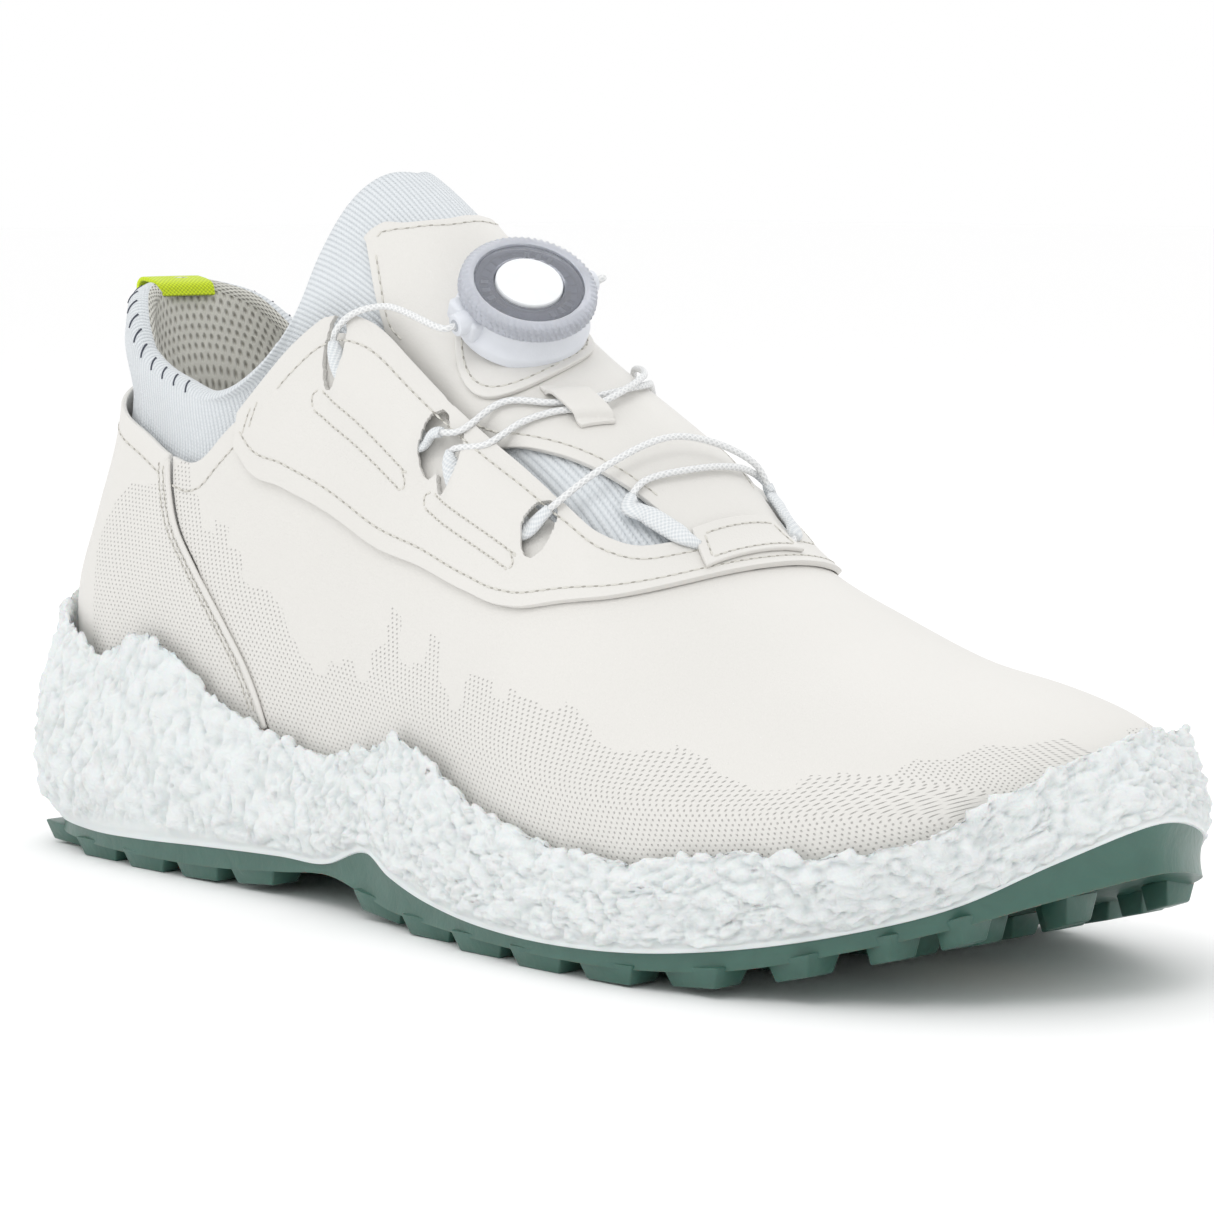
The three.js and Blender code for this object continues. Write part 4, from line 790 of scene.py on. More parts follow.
def make_materials(colours):
    """Every finish of the shoe, made once."""
    MATERIALS.update({
        "leather": leather("leather_smooth", colours.leather),
        "punched": leather("leather_punched", colours.leather, perforated=True),
        "knit": ribbed_knit("knit_polyester", colours.knit),
        "mesh": spacer_mesh("spacer_mesh_lining", colours.lining),
        "foam": cast_foam("polyurethane_foam", colours.foam),
        "rubber": green_rubber("tpu_outsole", colours.sole),
        "tab": webbing("lime_webbing", colours.tab, "#8fa51e"),
        "loop": webbing("white_webbing", "#eceeef", "#bfc6cb"),
        "lace": braided_cord("braided_lace", "#f0f1f1"),
        "thread": thread("bonded_thread", colours.thread, "#d2d0c8"),
        # Painted shade: the dark marks between the stitches and in the knob's slots stand for the
        # shade in those holes.
        "hole_shade": thread("painted_hole_shade", "#b1aea6", "#8d8a82"),
        "dark thread": thread("whip_thread", "#4a4f5c", "#2d3038"),
        "housing": moulded("nylon_housing", "#dfe2e8", 0.38, IOR=1.53),
        "grip": moulded("frosted_polycarbonate", "#e9ecf4", 0.3, IOR=1.58,
                        Transmission_Weight=0.55),
        "window": moulded("smoked_polycarbonate", "#c9ccd6", 0.12, 0.01, IOR=1.58,
                          Transmission_Weight=0.82),
        "cap": moulded("gloss_abs_cap", "#f1f3f4", 0.28, 0.01, IOR=1.53),
        "works": moulded("grey_acetal", "#b4b8be", 0.4, IOR=1.48),
        "steel": turned_steel("zinc_plated_steel"),
        "board": lining_board("fibre_board", "#c8b89a"),
        "sock": lining_board("sock_liner_cloth", "#b9bab4"),
    })


# ---------------------------------------------------------------- the upper
# Upper border of the punched field, [station, height], on both sides of the vamp and quarters.
PUNCHED = spline([[66, 0.44], [88, 0.36], [95, 0.34], [100, 0.325], [107, 0.32], [112, 0.30],
                  [119, 0.28], [126, 0.295], [132, 0.30], [140, 0.325], [146, 0.38],
                  [153, 0.36], [162, 0.385], [170, 0.345], [178, 0.375], [188, 0.40],
                  [198, 0.405], [208, 0.45], [214, 0.425], [222, 0.40], [232, 0.43],
                  [243, 0.45], [254, 0.37], [264, 0.41], [271, 0.45], [278, 0.50],
                  [286, 0.66], [292, 0.92], [300, 1.02]])
STEP = 5.0           # width of a step in the punched field's border


def punched_depth(u, v):
    """How far inside the punched field a point is, in mm, its border cut in small steps."""
    run = np.abs(u)
    stepped = (np.floor(run / STEP) + 0.5) * STEP
    jitter = 0.012 * np.sin(stepped * 2.1) + 0.010 * np.sin(stepped * 0.9)
    border = PUNCHED(mix(stepped, run, 0.35)) + jitter
    return (border - v) * V_MM


def mark_depths(bm, depths):
    """Stores on each vertex how far inside the punched field it is, for the leather to read."""
    layer = bm.verts.layers.float.new("perforation")
    for vert, depth in zip(bm.verts, np.concatenate(depths)):
        vert[layer] = depth


class SHOE_OT_upper(bpy.types.Operator):
    """Lays the vamp, the quarters and the heel panel as punched leather."""

    bl_idname = "shoe.upper"
    bl_label = "Upper leather"

    def execute(self, context):
        thickness = context.scene.shoe_sizes.leather / MM
        front_u = THROAT_X - LAST_BOTTOM_X
        throat_v = float(edge_v(front_u))
        side_rows, ridge_rows = 60, 24
        bm = bmesh.new()
        depths = []

        for side in (-1, 1):
            def quarter(s, t, side=side):
                v = t * throat_v
                for _ in range(5):
                    u = mix(seam_u(v) + 1.2, front_u, s)
                    v = t * edge_v(u)
                depths.append(punched_depth(u, v))
                return on_last(side * u, v, 0)

            lay_grid(bm, 120, side_rows, quarter)

        def vamp(s, t):
            x = mix(THROAT_X, TOE_END, 1 - (1 - s) ** 1.35)
            row = t * 2 * (side_rows + ridge_rows)
            near = np.minimum(row, 2 * (side_rows + ridge_rows) - row)
            v = np.where(near < side_rows, throat_v * near / side_rows,
                         mix(throat_v, 1, (near - side_rows) / ridge_rows))
            w = np.where(t < 0.5, v - 1, 1 - v)
            u, v = over(x, w)
            depths.append(punched_depth(u, v))
            return on_last(u, v, 0)

        lay_grid(bm, 76, 2 * (side_rows + ridge_rows), vamp)
        mark_depths(bm, depths)
        shell = piece("vamp_and_quarters", bm, MATERIALS["punched"],
                      replaces=["vamp_quarter"], weld=0.05)
        walled(shell, thickness)

        bm = bmesh.new()
        depths.clear()

        def heel(s, t):
            v = t * float(edge_v(66))
            for _ in range(5):
                u = mix(-1, 1, s) * (seam_u(v) - 0.3)
                v = t * edge_v(u)
            fade = np.minimum(np.abs(u) - mix(38, 56, ease((v - 0.33) / 0.12)),
                              (0.405 - v) * V_MM)
            depths.append(fade)
            return on_last(u, v, 0)

        lay_grid(bm, 150, 56, heel)
        mark_depths(bm, depths)
        panel = piece("heel_leather", bm, MATERIALS["punched"], replaces=["heel_panel"])
        walled(panel, thickness)

        for side, word in ((-1, "lateral"), (1, "medial")):
            heights = np.linspace(0.215, 0.43, 60)
            stations = side * (seam_u(heights) + 0.25)
            bm = bmesh.new()
            path = lifted(stations, heights, np.full(60, 0.55))
            swept(bm, path, 0.75, 0.5, np.cross(np.gradient(path, axis=0),
                                                last_normal(stations, heights)), 10)
            piece(f"seam_fold_{word}", bm, MATERIALS["leather"],
                  replaces=[f"seam_piping_{word}"])
        return {"FINISHED"}


# Webbing guides run under the facing between these stations, [station, height].
GUIDES = {
    "upper": [[121, 0.585], [129, 0.592], [138, 0.598], [146, 0.605]],
    "middle": [[158, 0.605], [165, 0.610], [173, 0.615], [180, 0.62]],
}
GUIDE_HEIGHT = 1.0   # height of a guide's middle over the last, mm
TUNNEL_RISE = 2.3    # how far the facing rises over a guide, mm


def tunnel(u, v):
    """How far the facing rises over the webbing guides, mm."""
    u = np.abs(u)
    lift = 0.0
    for (start, low), *_, (end, high) in GUIDES.values():
        middle = np.interp(u, [start, end], [low, high])
        along = ease((u - start + 5) / 7) * ease((end + 5 - u) / 7)
        lift = np.maximum(lift, along * np.exp(-(((v - middle) / 0.06) ** 2)))
    return TUNNEL_RISE * lift


def facing_lift(u, v):
    """Height of the facing's skin over the last, mm: it lies on the quarter and on the guides."""
    ahead = ease((np.abs(u) - 188) / 14)
    return 1.45 + tunnel(u, v) + 0.9 * ease((v - 0.60) / 0.06) * (1 - ahead)


PATCH_REAR, PATCH_FRONT = 44.6, 52.6  # stations of the small patch at the throat's base


def patch_lift(x):
    """Height of the throat patch's skin: flat on the facing, its rear edge curled up a little."""
    return 2.5 + 0.4 * np.clip((PATCH_FRONT - x) / (PATCH_FRONT - PATCH_REAR), 0, 1) ** 2


# Slits where the lace leaves a guide: station and height of its mouth, and the way out, mm.
FACING_SLITS = [(121, 0.600, -3.2), (146, 0.622, 3.4), (158, 0.620, -3.2), (180, 0.637, 3.4)]
SLIT_LONG, SLIT_HIGH = 3.3, 3.9
SLIT_V_MM = 78.0     # length up the last of one unit of v at the slits, mm


class SHOE_OT_facing(bpy.types.Operator):
    """Lays the U-shaped facing with its slits, and the small patch at the throat's base."""

    bl_idname = "shoe.facing"
    bl_label = "Facing"

    def execute(self, context):
        thickness = context.scene.shoe_sizes.leather / MM
        outer = round_throat(FACING_OUTER, FACING_OUTER_TIP)
        inner = round_throat(FACING_INNER, FACING_INNER_TIP)
        bm = bmesh.new()
        placed = []

        def ribbon(s, t):
            x, w = mix(outer(s), inner(s), t[:, None]).T
            u, v = over(x, w)
            placed.append(np.stack([u, v], -1))
            return on_last(u, v, facing_lift(u, v))

        verts = lay_grid(bm, 560, 60, ribbon)
        where = dict(zip(verts, placed[0]))

        def slit_distance(u, v):
            """How far a point is from the nearest slit's middle: 1 on the slit's edge."""
            return min(math.hypot((abs(u) - station - out) / SLIT_LONG,
                                  (v - height) * SLIT_V_MM / SLIT_HIGH)
                       for station, height, out in FACING_SLITS)

        inside = [f for f in bm.faces
                  if all(slit_distance(*where[v]) < 1 for v in f.verts)]
        bmesh.ops.delete(bm, geom=inside, context="FACES")
        rim = [v for v in bm.verts if v.is_boundary and slit_distance(*where[v]) < 1.35]
        for _ in range(3):
            bmesh.ops.smooth_vert(bm, verts=rim, factor=0.5, use_axis_x=True,
                                  use_axis_y=True, use_axis_z=True)
        facing = piece("facing_leather", bm, MATERIALS["leather"], replaces=[
            "facing_overlay_lateral", "facing_overlay_medial"])
        walled(facing, thickness)

        bm = bmesh.new()

        def patch(s, t):
            x = mix(PATCH_REAR, PATCH_FRONT, s)
            w = mix(-0.155, 0.095, t) * mix(0.82, 1.0, s)
            u, v = over(x, w)
            return on_last(u, v, patch_lift(x))

        lay_grid(bm, 26, 40, patch)
        flap = piece("throat_base_patch", bm, MATERIALS["leather"], replaces=["throat_patch"])
        walled(flap, 1.0)
        return {"FINISHED"}


def knit_height(u, v):
    """Height of the knit's skin: tucked under the leather's edge, then out to the surface."""
    past = ease((v - edge_v(u) - 0.005) / 0.07)
    return mix(-2.6, -0.1, past)


def tongue_edge(x):
    """Height v of the tongue leather's lower edge at a station x."""
    return np.interp(x, [-42, -30, -8, 4, 20, 36, 48],
                     [0.76, 0.66, 0.655, 0.69, 0.765, 0.835, 0.88])


TONGUE_TOP_X = spline([[0.0, -30.5], [0.08, -31.5], [0.16, -36.5], [0.21, -41.5], [0.34, -40.0],
                       [0.40, -38.0]])


TONGUE_FRONT_X = 48.0
TONGUE_RISE = 1.55   # height of the tongue leather's skin over the knit, mm


def tongue_lift(u, v):
    """Height of the tongue leather's skin over the last, mm."""
    return knit_height(u, v) + TONGUE_RISE


DIAL_X, DIAL_W = -8.0, -0.095
PATCH_X, PATCH_W, PATCH_LONG, PATCH_WIDE = DIAL_X + 1, DIAL_W, 12.5, 0.18
PATCH_RISE = 1.25    # the oval patch over the tongue's leather, mm
KEEPER_X, KEEPER_W = 14.0, -0.14


class SHOE_OT_tongue(bpy.types.Operator):
    """Lays the tongue's leather, the oval patch under the dial and the lace keeper."""

    bl_idname = "shoe.tongue"
    bl_label = "Tongue"

    def execute(self, context):
        thickness = context.scene.shoe_sizes.leather / MM
        bm = bmesh.new()

        def cover(s, t):
            across = mix(-1, 1, t)
            w = across * 0.2
            for _ in range(6):
                x = mix(TONGUE_TOP_X(np.abs(w)), TONGUE_FRONT_X, s)
                w = across * (1 - tongue_edge(x))
            u, v = over(x, w)
            return on_last(u, v, tongue_lift(u, v))

        lay_grid(bm, 90, 84, cover)
        overlay = piece("tongue_leather", bm, MATERIALS["leather"], replaces=["tongue_overlay"])
        walled(overlay, thickness)

        bm = bmesh.new()

        def oval(s, t):
            angle = 2 * math.pi * t
            u, v = over(PATCH_X + s * PATCH_LONG * np.cos(angle),
                        PATCH_W + s * PATCH_WIDE * np.sin(angle))
            return on_last(u, v, tongue_lift(u, v) + PATCH_RISE)

        lay_grid(bm, 20, 96, oval)
        patch = piece("dial_patch_leather", bm, MATERIALS["leather"], replaces=["dial_patch"])
        walled(patch, thickness)

        bm = bmesh.new()

        def strap(s, t):
            along = mix(-6.4, 6.4, s) * mix(1.0, 0.8, t)
            rise = 1.9 * np.clip(1 - (along / 4.6) ** 4, 0, 1) ** 0.7
            w = KEEPER_W + mix(-0.032, 0.032, t)
            x = KEEPER_X + along + 70 * (w - KEEPER_W)
            u, v = over(x, w)
            return on_last(u, v, tongue_lift(u, v) + 1.1 + rise)

        lay_grid(bm, 40, 14, strap)
        keeper = piece("lace_keeper_strap", bm, MATERIALS["leather"], replaces=["lace_keeper"])
        walled(keeper, 1.0, 0.25)
        return {"FINISHED"}


# ---------------------------------------------------------------- knit, padding and lining
PAD_TOP = 3.1         # half the thickness of the padded collar's rolled rim


def collar_lines():
    """The rim of the opening and the line where its knit ends, from the lateral top of the
    tongue round the heel to the medial top, each as [station, height]."""
    climb = [[113, 1.0], [111, 0.94], [108.5, 0.83], [106, 0.70], [103, 0.60], [98, 0.55]]
    round_heel = [[90, 0.51], [78, 0.49], [66, 0.505], [54, 0.53], [43, 0.57], [30, 0.61],
                  [15, 0.625], [0, 0.63]]
    ends = [[138, 1.0], [138, 0.91], [136, 0.82], [132, 0.72], [126, 0.60], [112, 0.54],
            [97, 0.45], [81, 0.36], [66, 0.36], [54, 0.385], [43, 0.41], [30, 0.43],
            [15, 0.455], [0, 0.46]]

    def closed(points):
        lateral = [[-u, v] for u, v in points]
        medial = [[u, v] for u, v in reversed(points[:-1])]
        return lateral + medial

    rim, end = closed(climb + round_heel), closed(ends)
    points = lifted(*np.array(rim).T, 0.0)
    run = np.concatenate([[0], np.cumsum(np.linalg.norm(np.diff(points, axis=0), axis=1))])
    share = run / run[-1]
    return (spline([[s, p] for s, p in zip(share, rim)]),
            spline([[s, p] for s, p in zip(share, end)]), run[-1])


RIM_LINE, KNIT_END, RIM_LENGTH = collar_lines()


def rolled(s, turn):
    """Points of the padded rim's roll: turn 0 is its outside and 1 its inside."""
    u, v = RIM_LINE(s).T
    angle = math.pi * turn
    radius = PAD_TOP * np.where(np.abs(u) > 100, 0.72, 1.0)
    centre = -0.1 - radius
    lift = centre + radius * np.cos(angle)
    point = lifted(u, v, lift)
    down = KNIT_END(s) - RIM_LINE(s)
    beyond = RIM_LINE(s) - 0.02 * V_MM * down / np.linalg.norm(down * [1, V_MM], axis=-1,
                                                                keepdims=True)
    away = last_point(*beyond.T) - last_point(u, v)
    away /= np.linalg.norm(away, axis=-1, keepdims=True) + 1e-9
    raised = np.sin(angle) * radius * 0.9
    return point + away * raised[..., None], (u, v), radius


class SHOE_OT_collar(bpy.types.Operator):
    """Models the knit bootie with its padded, rolled rim, and the mesh lining inside it."""

    bl_idname = "shoe.collar"
    bl_label = "Knit and lining"

    def execute(self, context):
        bm = bmesh.new()

        def outside(s, t):
            """t 0 is the knit's end under the leather, 0.8 the rim, and 1 half-way over it."""
            down = np.clip(t / 0.8, 0, 1)
            u, v = mix(KNIT_END(s), RIM_LINE(s), down[:, None]).T
            low = last_point(u, v) + last_normal(u, v) * knit_height(u, v)[:, None]
            roll, _, _ = rolled(s, np.clip((t - 0.8) / 0.2, 0, 1) * 0.62)
            points = np.where((t < 0.8)[:, None], low, roll)
            flat = np.stack([(s - 0.5) * RIM_LENGTH, t * 38], -1)
            return points, last_normal(u, v), flat

        lay_grid(bm, 420, 64, outside)
        knit = piece("collar_knit", bm, MATERIALS["knit"],
                     replaces=["knit_bootie", "collar_padding"])

        bm = bmesh.new()

        def gusset(s, t):
            x = mix(-26, 68, s)
            w = mix(-1, 1, t) * mix(0.42, 0.30, ease(s * 1.2))
            u, v = over(x, w)
            flat = np.stack([w * V_MM, x], -1)
            return lifted(u, v, knit_height(u, v) - 0.25), last_normal(u, v), flat

        lay_grid(bm, 120, 90, gusset)
        gusset_knit = piece("tongue_gusset_knit", bm, MATERIALS["knit"])
        walled(gusset_knit, 1.0, 0)

        bm = bmesh.new()

        def inside(s, t):
            """t 0 is the seam on the rim's roll and 1 the lining's foot."""
            roll, (u, v), radius = rolled(s, mix(0.62, 1.0, np.clip(t / 0.18, 0, 1)))
            deep = np.clip((t - 0.18) / 0.82, 0, 1)
            foot = np.where(np.abs(u) > 84, 0.50 + 0.3 * ease((np.abs(u) - 84) / 29), 0.14)
            height = mix(v, np.minimum(foot, v), deep)
            swell = 1.3 * np.sin(math.pi * np.clip(deep / 0.55, 0, 1)) * np.where(
                np.abs(u) > 95, 0.2, 1.0)
            wall = lifted(u, height, -0.1 - 2 * radius - swell)
            points = np.where((t < 0.18)[:, None], roll, wall)
            flat = np.stack([(s - 0.5) * RIM_LENGTH, t * 70], -1)
            return points, -last_normal(u, v), flat

        lay_grid(bm, 360, 72, inside)
        lining = piece("collar_mesh_lining", bm, MATERIALS["mesh"], replaces=["collar_lining"])

        bm = bmesh.new()

        def tongue_back(s, t):
            x = mix(-40, 60, s)
            w = mix(-1, 1, t) * 0.52
            u, v = over(x, w)
            flat = np.stack([x, w * V_MM], -1)
            return lifted(u, v, np.full(np.shape(u), -4.7)), -last_normal(u, v), flat

        lay_grid(bm, 60, 60, tongue_back)
        piece("tongue_back_lining", bm, MATERIALS["mesh"])

        bm = bmesh.new()
        for side in (-1, 1):
            for run in np.arange(9.0, 62.0, 5.2):
                s = 0.5 + side * run / RIM_LENGTH
                path, _, _ = rolled(s + 0.0012 * np.arange(6), np.linspace(0.04, 0.36, 6))
                across = np.cross(path[-1] - path[0], last_normal(0.0, 0.6))
                swept(bm, path, 0.28, 0.22, across, 6)
        piece("collar_whip_stitches", bm, MATERIALS["dark thread"])
        return {"FINISHED"}


TAB_STEPS = 89
TAB_LATERAL, TAB_MEDIAL = -9.3, 6.2
TAB_CUP = (0.001568, -0.000448)  # how far the tab's sides curl ahead and down, by width squared


class SHOE_OT_pull_tab(bpy.types.Operator):
    """Folds the lime webbing of the pull tab astride the back of the collar."""

    bl_idname = "shoe.pull_tab"
    bl_label = "Pull tab"

    def execute(self, context):
        back, front = (corner.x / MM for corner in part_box("pull_tab"))
        edge = lifted(np.array([0.0]), np.array([0.63]), 0.0)[0][2]
        bm = bmesh.new()
        path = [[back + 2.4, edge - 11], [back + 1.4, edge - 5], [back + 0.8, edge + 0.3],
                [back + 1.0, edge + 2.2], [back + 2.4, edge + 3.4], [back + 4.8, edge + 3.3],
                [front - 2.2, edge + 2.0], [front - 1.2, edge - 0.6]]
        ribbon, length = through([[x, 0, z] for x, z in path], TAB_STEPS + 1)

        def band(s, t):
            i = np.rint(s * TAB_STEPS).astype(int)
            width = mix(TAB_LATERAL, TAB_MEDIAL, t)
            ahead, down = (curl * width**2 for curl in TAB_CUP)
            points = ribbon[i] + np.stack([ahead, width + LAST_ORIGIN[1], down], -1)
            step = np.gradient(ribbon, axis=0)[i]
            out = np.stack([-step[:, 2], 0 * s, step[:, 0]], -1)
            return points, out, np.stack([s * length, width], -1)

        lay_grid(bm, TAB_STEPS, 24, band)
        tab = piece("pull_tab_webbing", bm, MATERIALS["tab"], replaces=["pull_tab"])
        walled(tab, 0.9, 0.2)
        return {"FINISHED"}


# ---------------------------------------------------------------- foam and outsole
RELIEF_SEED = 5
noise.seed_set(RELIEF_SEED)


def stone_relief(place, upright):
    """Relief of the foam's skin from 0 to 1: puffed lumps with sharp creases between them."""
    stretch = mix(1.25, 0.62, upright)
    p = Vector((place.x, place.y, place.z * stretch))
    warp = noise.noise_vector(p / 6.0) * 2.4
    q = p + warp
    lumps = abs(noise.noise(q / 4.8)) * 1.15
    folds = abs(noise.noise(q / 2.5 + Vector((7, 3, 1)))) * 0.75
    grit = abs(noise.noise(q / 1.3)) * 0.3
    return min(lumps + folds + grit, 1.35)


RAGGED = 0.9         # height of the waves in the foam's top edge, mm


class SHOE_OT_foam(bpy.types.Operator):
    """Casts the foam midsole with its stone-like relief, ragged top edge and smooth rand."""

    bl_idname = "shoe.foam"
    bl_label = "Foam midsole"

    def execute(self, context):
        relief = context.scene.shoe_sizes.relief / MM
        bm = bmesh.new()
        shares, heights = [], []
        wall_part = 0.84

        def wall(s, t):
            shares.append(s)
            heights.append(t)
            rim, edge, bulge = SOLE["rim"](s), SOLE["edge"](s), SOLE["bulge"](s)
            out = sole_out(s)
            rise = np.clip(t / wall_part, 0, 1)
            rise = mix(rise, rise**1.5, 0.5)
            point = mix(rim, edge, (rise**1.25)[:, None])
            point[:, 2] = mix(rim[:, 2], edge[:, 2], rise)
            towards = rim - spine_of(rim)
            towards[:, 2] = 0
            towards /= np.linalg.norm(towards, axis=1, keepdims=True)
            point += towards * (bulge * np.sin(math.pi * rise**0.75))[:, None]
            rand = np.exp(-(((rise * (edge[:, 2] - rim[:, 2]) - 1.0) / 0.6) ** 2))
            point += out * (0.35 * rand)[:, None]
            ragged = np.array([noise.noise(Vector(p) / 6.0) + 0.6 * noise.noise(Vector(p) / 2.6)
                               for p in edge])
            point[:, 2] += ragged * RAGGED * ease((rise - 0.72) / 0.28)
            lip = np.clip((t - wall_part) / (1 - wall_part), 0, 1)
            hollow = SOLE["hollow"](s)
            hollow[:, 2] += ragged * RAGGED * 0.7
            over_lip = mix(edge, hollow, ease(lip)[:, None])
            over_lip[:, 2] = mix(edge[:, 2] + ragged * RAGGED, hollow[:, 2], lip) + 1.1 * np.sin(
                math.pi * np.minimum(lip * 1.3, 1))
            point = np.where((t > wall_part)[:, None], over_lip, point)
            flat = np.stack([s * ROUND_MM, rise * 40], -1)
            return point, towards, flat

        crease_shade = bm.verts.layers.float.new("crease_shade")
        smooth = bm.verts.layers.float.new("smooth")
        verts = lay_grid(bm, 800, 58, wall)
        bm.normal_update()
        share = dict(zip(verts, zip(shares[0], heights[0])))
        moved = []
        for vert in verts:
            s, t = share[vert]
            place = vert.co / MM
            upright = float(ease((-place.x + 10) / 60))
            height = stone_relief(place, upright)
            keep = float(ease((t - 0.05) / 0.10)) * (1 - 0.75 * float(ease((t - 0.86) / 0.08)))
            moved.append(vert.normal * (height - 0.42) * relief * keep * MM)
            # Painted shade: where the relief is low, in its creases, the foam's colour is
            # darkened.
            vert[crease_shade] = max(0.0, 0.42 - height) * 2.2 * keep
            vert[smooth] = 1 - keep
        for vert, move in zip(verts, moved):
            vert.co += move
        seam = [v for v in verts if share[v][0] in (0.0, 1.0)]
        bmesh.ops.remove_doubles(bm, verts=seam, dist=0.4 * MM)

        def underside(s, t):
            rim = SOLE["rim"](s)
            inner = mix(rim, spine_of(rim), 0.25)
            inner[:, 2] = SOLE["seat"](s)
            down = np.tile([0.0, 0.0, -1.0], (len(s), 1))
            return mix(rim, inner, t[:, None]), down, np.stack([s * ROUND_MM, t * 8], -1)

        lay_grid(bm, 400, 2, underside)
        foam = piece("foam_midsole", bm, MATERIALS["foam"], replaces=["midsole"])
        foam.data.validate()
        return {"FINISHED"}


def rubber_rim(s, t):
    """The outsole's side: t 0 under the foam's rim, 1 at its lower edge."""
    rim, ground = SOLE["rim"](s), SOLE["ground"](s)
    out = sole_out(s)
    low = np.minimum(ground + LUG_HEIGHT, rim[:, 2] - 2.0)
    point = rim.copy()
    point[:, 2] = mix(rim[:, 2] - 0.1, low, t)
    tall = np.clip((rim[:, 2] - low - 4) / 6, 0, 1)
    swell = 0.35 + 0.5 * np.sin(math.pi * t) * (0.4 + tall)
    point += out * swell[:, None]
    return point, out, np.stack([s * ROUND_MM, t * 8], -1)


class SHOE_OT_outsole(bpy.types.Operator):
    """Moulds the green outsole: its rim, its plate with a low tread, and its tapered lugs."""

    bl_idname = "shoe.outsole"
    bl_label = "Outsole"

    def execute(self, context):
        bm = bmesh.new()
        lay_grid(bm, 500, 14, rubber_rim)

        def plate(s, t):
            edge, _, _ = rubber_rim(s, np.ones_like(s))
            ground = SOLE["ground"](s)
            middle = spine_of(edge)
            low = ground + LUG_HEIGHT - 0.2
            point = mix(edge, middle, t[:, None])
            point[:, 2] = mix(edge[:, 2], low, ease(t / 0.12))
            ribs = 0.5 + 0.5 * np.cos(2 * math.pi * point[:, 0] / 4.0)
            point[:, 2] -= 0.35 * ribs * ease((t - 0.1) / 0.1)
            down = np.tile([0.0, 0.0, -1.0], (len(s), 1))
            return point, down, np.stack([point[:, 0], point[:, 1]], -1)

        lay_grid(bm, 500, 26, plate)

        def top(s, t):
            edge, _, _ = rubber_rim(s, np.zeros_like(s))
            inner = mix(edge, spine_of(edge), 0.3)
            inner[:, 2] = SOLE["seat"](s) - 0.5
            up = np.tile([0.0, 0.0, 1.0], (len(s), 1))
            return mix(edge, inner, t[:, None]), up, np.stack([s * ROUND_MM, t * 8], -1)

        lay_grid(bm, 500, 2, top)
        bmesh.ops.remove_doubles(bm, verts=bm.verts, dist=0.02 * MM)
        for x, y, length, tip in self.lug_places():
            self.add_lug(bm, x, y, length, tip)
        sole = piece("rubber_outsole", bm, MATERIALS["rubber"], replaces=["outsole"], weld=0)
        sharp = sole.modifiers.new("Smooth by angle", "EDGE_SPLIT")
        sharp.split_angle = math.radians(38)
        return {"FINISHED"}

    @staticmethod
    def edges_at(x):
        """The plan's two edges and the height of the lugs' tips at a station x."""
        shares = np.linspace(0, 1, 800, endpoint=False)
        rim = SOLE["rim"](shares) - LAST_ORIGIN
        lateral, medial = rim[:, 1] < 1.0, rim[:, 1] >= 1.0
        found = []
        for half in (lateral, medial):
            nearest = np.argmin(np.abs(rim[half][:, 0] - x))
            found.append(rim[half][nearest][1])
        side = shares[lateral]
        tip = float(SOLE["ground"](side[np.argmin(np.abs(rim[lateral][:, 0] - x))]))
        return found[0], found[1], tip

    def lug_places(self):
        for i, x in enumerate(LUG_ROWS):
            near = [LUG_ROWS[k] for k in (i - 1, i + 1) if 0 <= k < len(LUG_ROWS)]
            room = min(abs(k - x) for k in near)
            length = min(LUG_LENGTH, room - LUG_SPACE)
            lateral, medial, _ = self.edges_at(x)
            low, high = lateral + LUG_WIDTH * 0.55, medial - LUG_WIDTH * 0.55
            count = max(2, round((high - low) / (LUG_WIDTH * 2.7)) + 1)
            for y in np.linspace(low, high, count):
                yield x, y, length, lambda px: self.edges_at(px)[2]

    @staticmethod
    def add_lug(bm, x, y, length, tip):
        """One lug: a block drawn in towards its tip, with rounded edges."""
        verts = bmesh.ops.create_cube(bm, size=1)["verts"]
        root = LUG_HEIGHT + PLATE * (0.4 + 0.5 * float(ease((x - 100) / 25)))
        for v in verts:
            share = LUG_TAPER if v.co.z < 0 else 1.0
            px = x + v.co.x * share * length
            z = tip(px) + (0 if v.co.z < 0 else root)
            place = np.array([px, y + v.co.y * share * LUG_WIDTH, z]) + LAST_ORIGIN
            v.co = place * MM
        edges = list({e for v in verts for e in v.link_edges})
        bmesh.ops.bevel(bm, geom=edges, offset=0.45 * MM, offset_type="OFFSET", segments=2,
                        profile=0.5, affect="EDGES", material=-1)


# ---------------------------------------------------------------- the dial
def dial_place():
    """The dial's own frame: its z axis is the knob's axis, its y axis points medially."""
    z = Vector(DIAL_JOINT["axis"]).normalized()
    x = Vector((0, 1, 0)).cross(z).normalized()
    y = z.cross(x)
    place = Matrix((x, y, z)).transposed().to_4x4()
    place.translation = Vector(DIAL_JOINT["pos_m"])
    return place


DIAL = dial_place()
GRIP_RADIUS, GRIP_TOP, GRIP_LOW = 14.2, 9.0, 5.2
WINDOW_RADIUS, CAP_RADIUS = 11.0, 6.9
KNOB_LOW = 6.0
HOUSING_TOP = 4.6
PORT_Z, PORT_REACH = 3.0, 16.5
GRIP_RIBS = 64


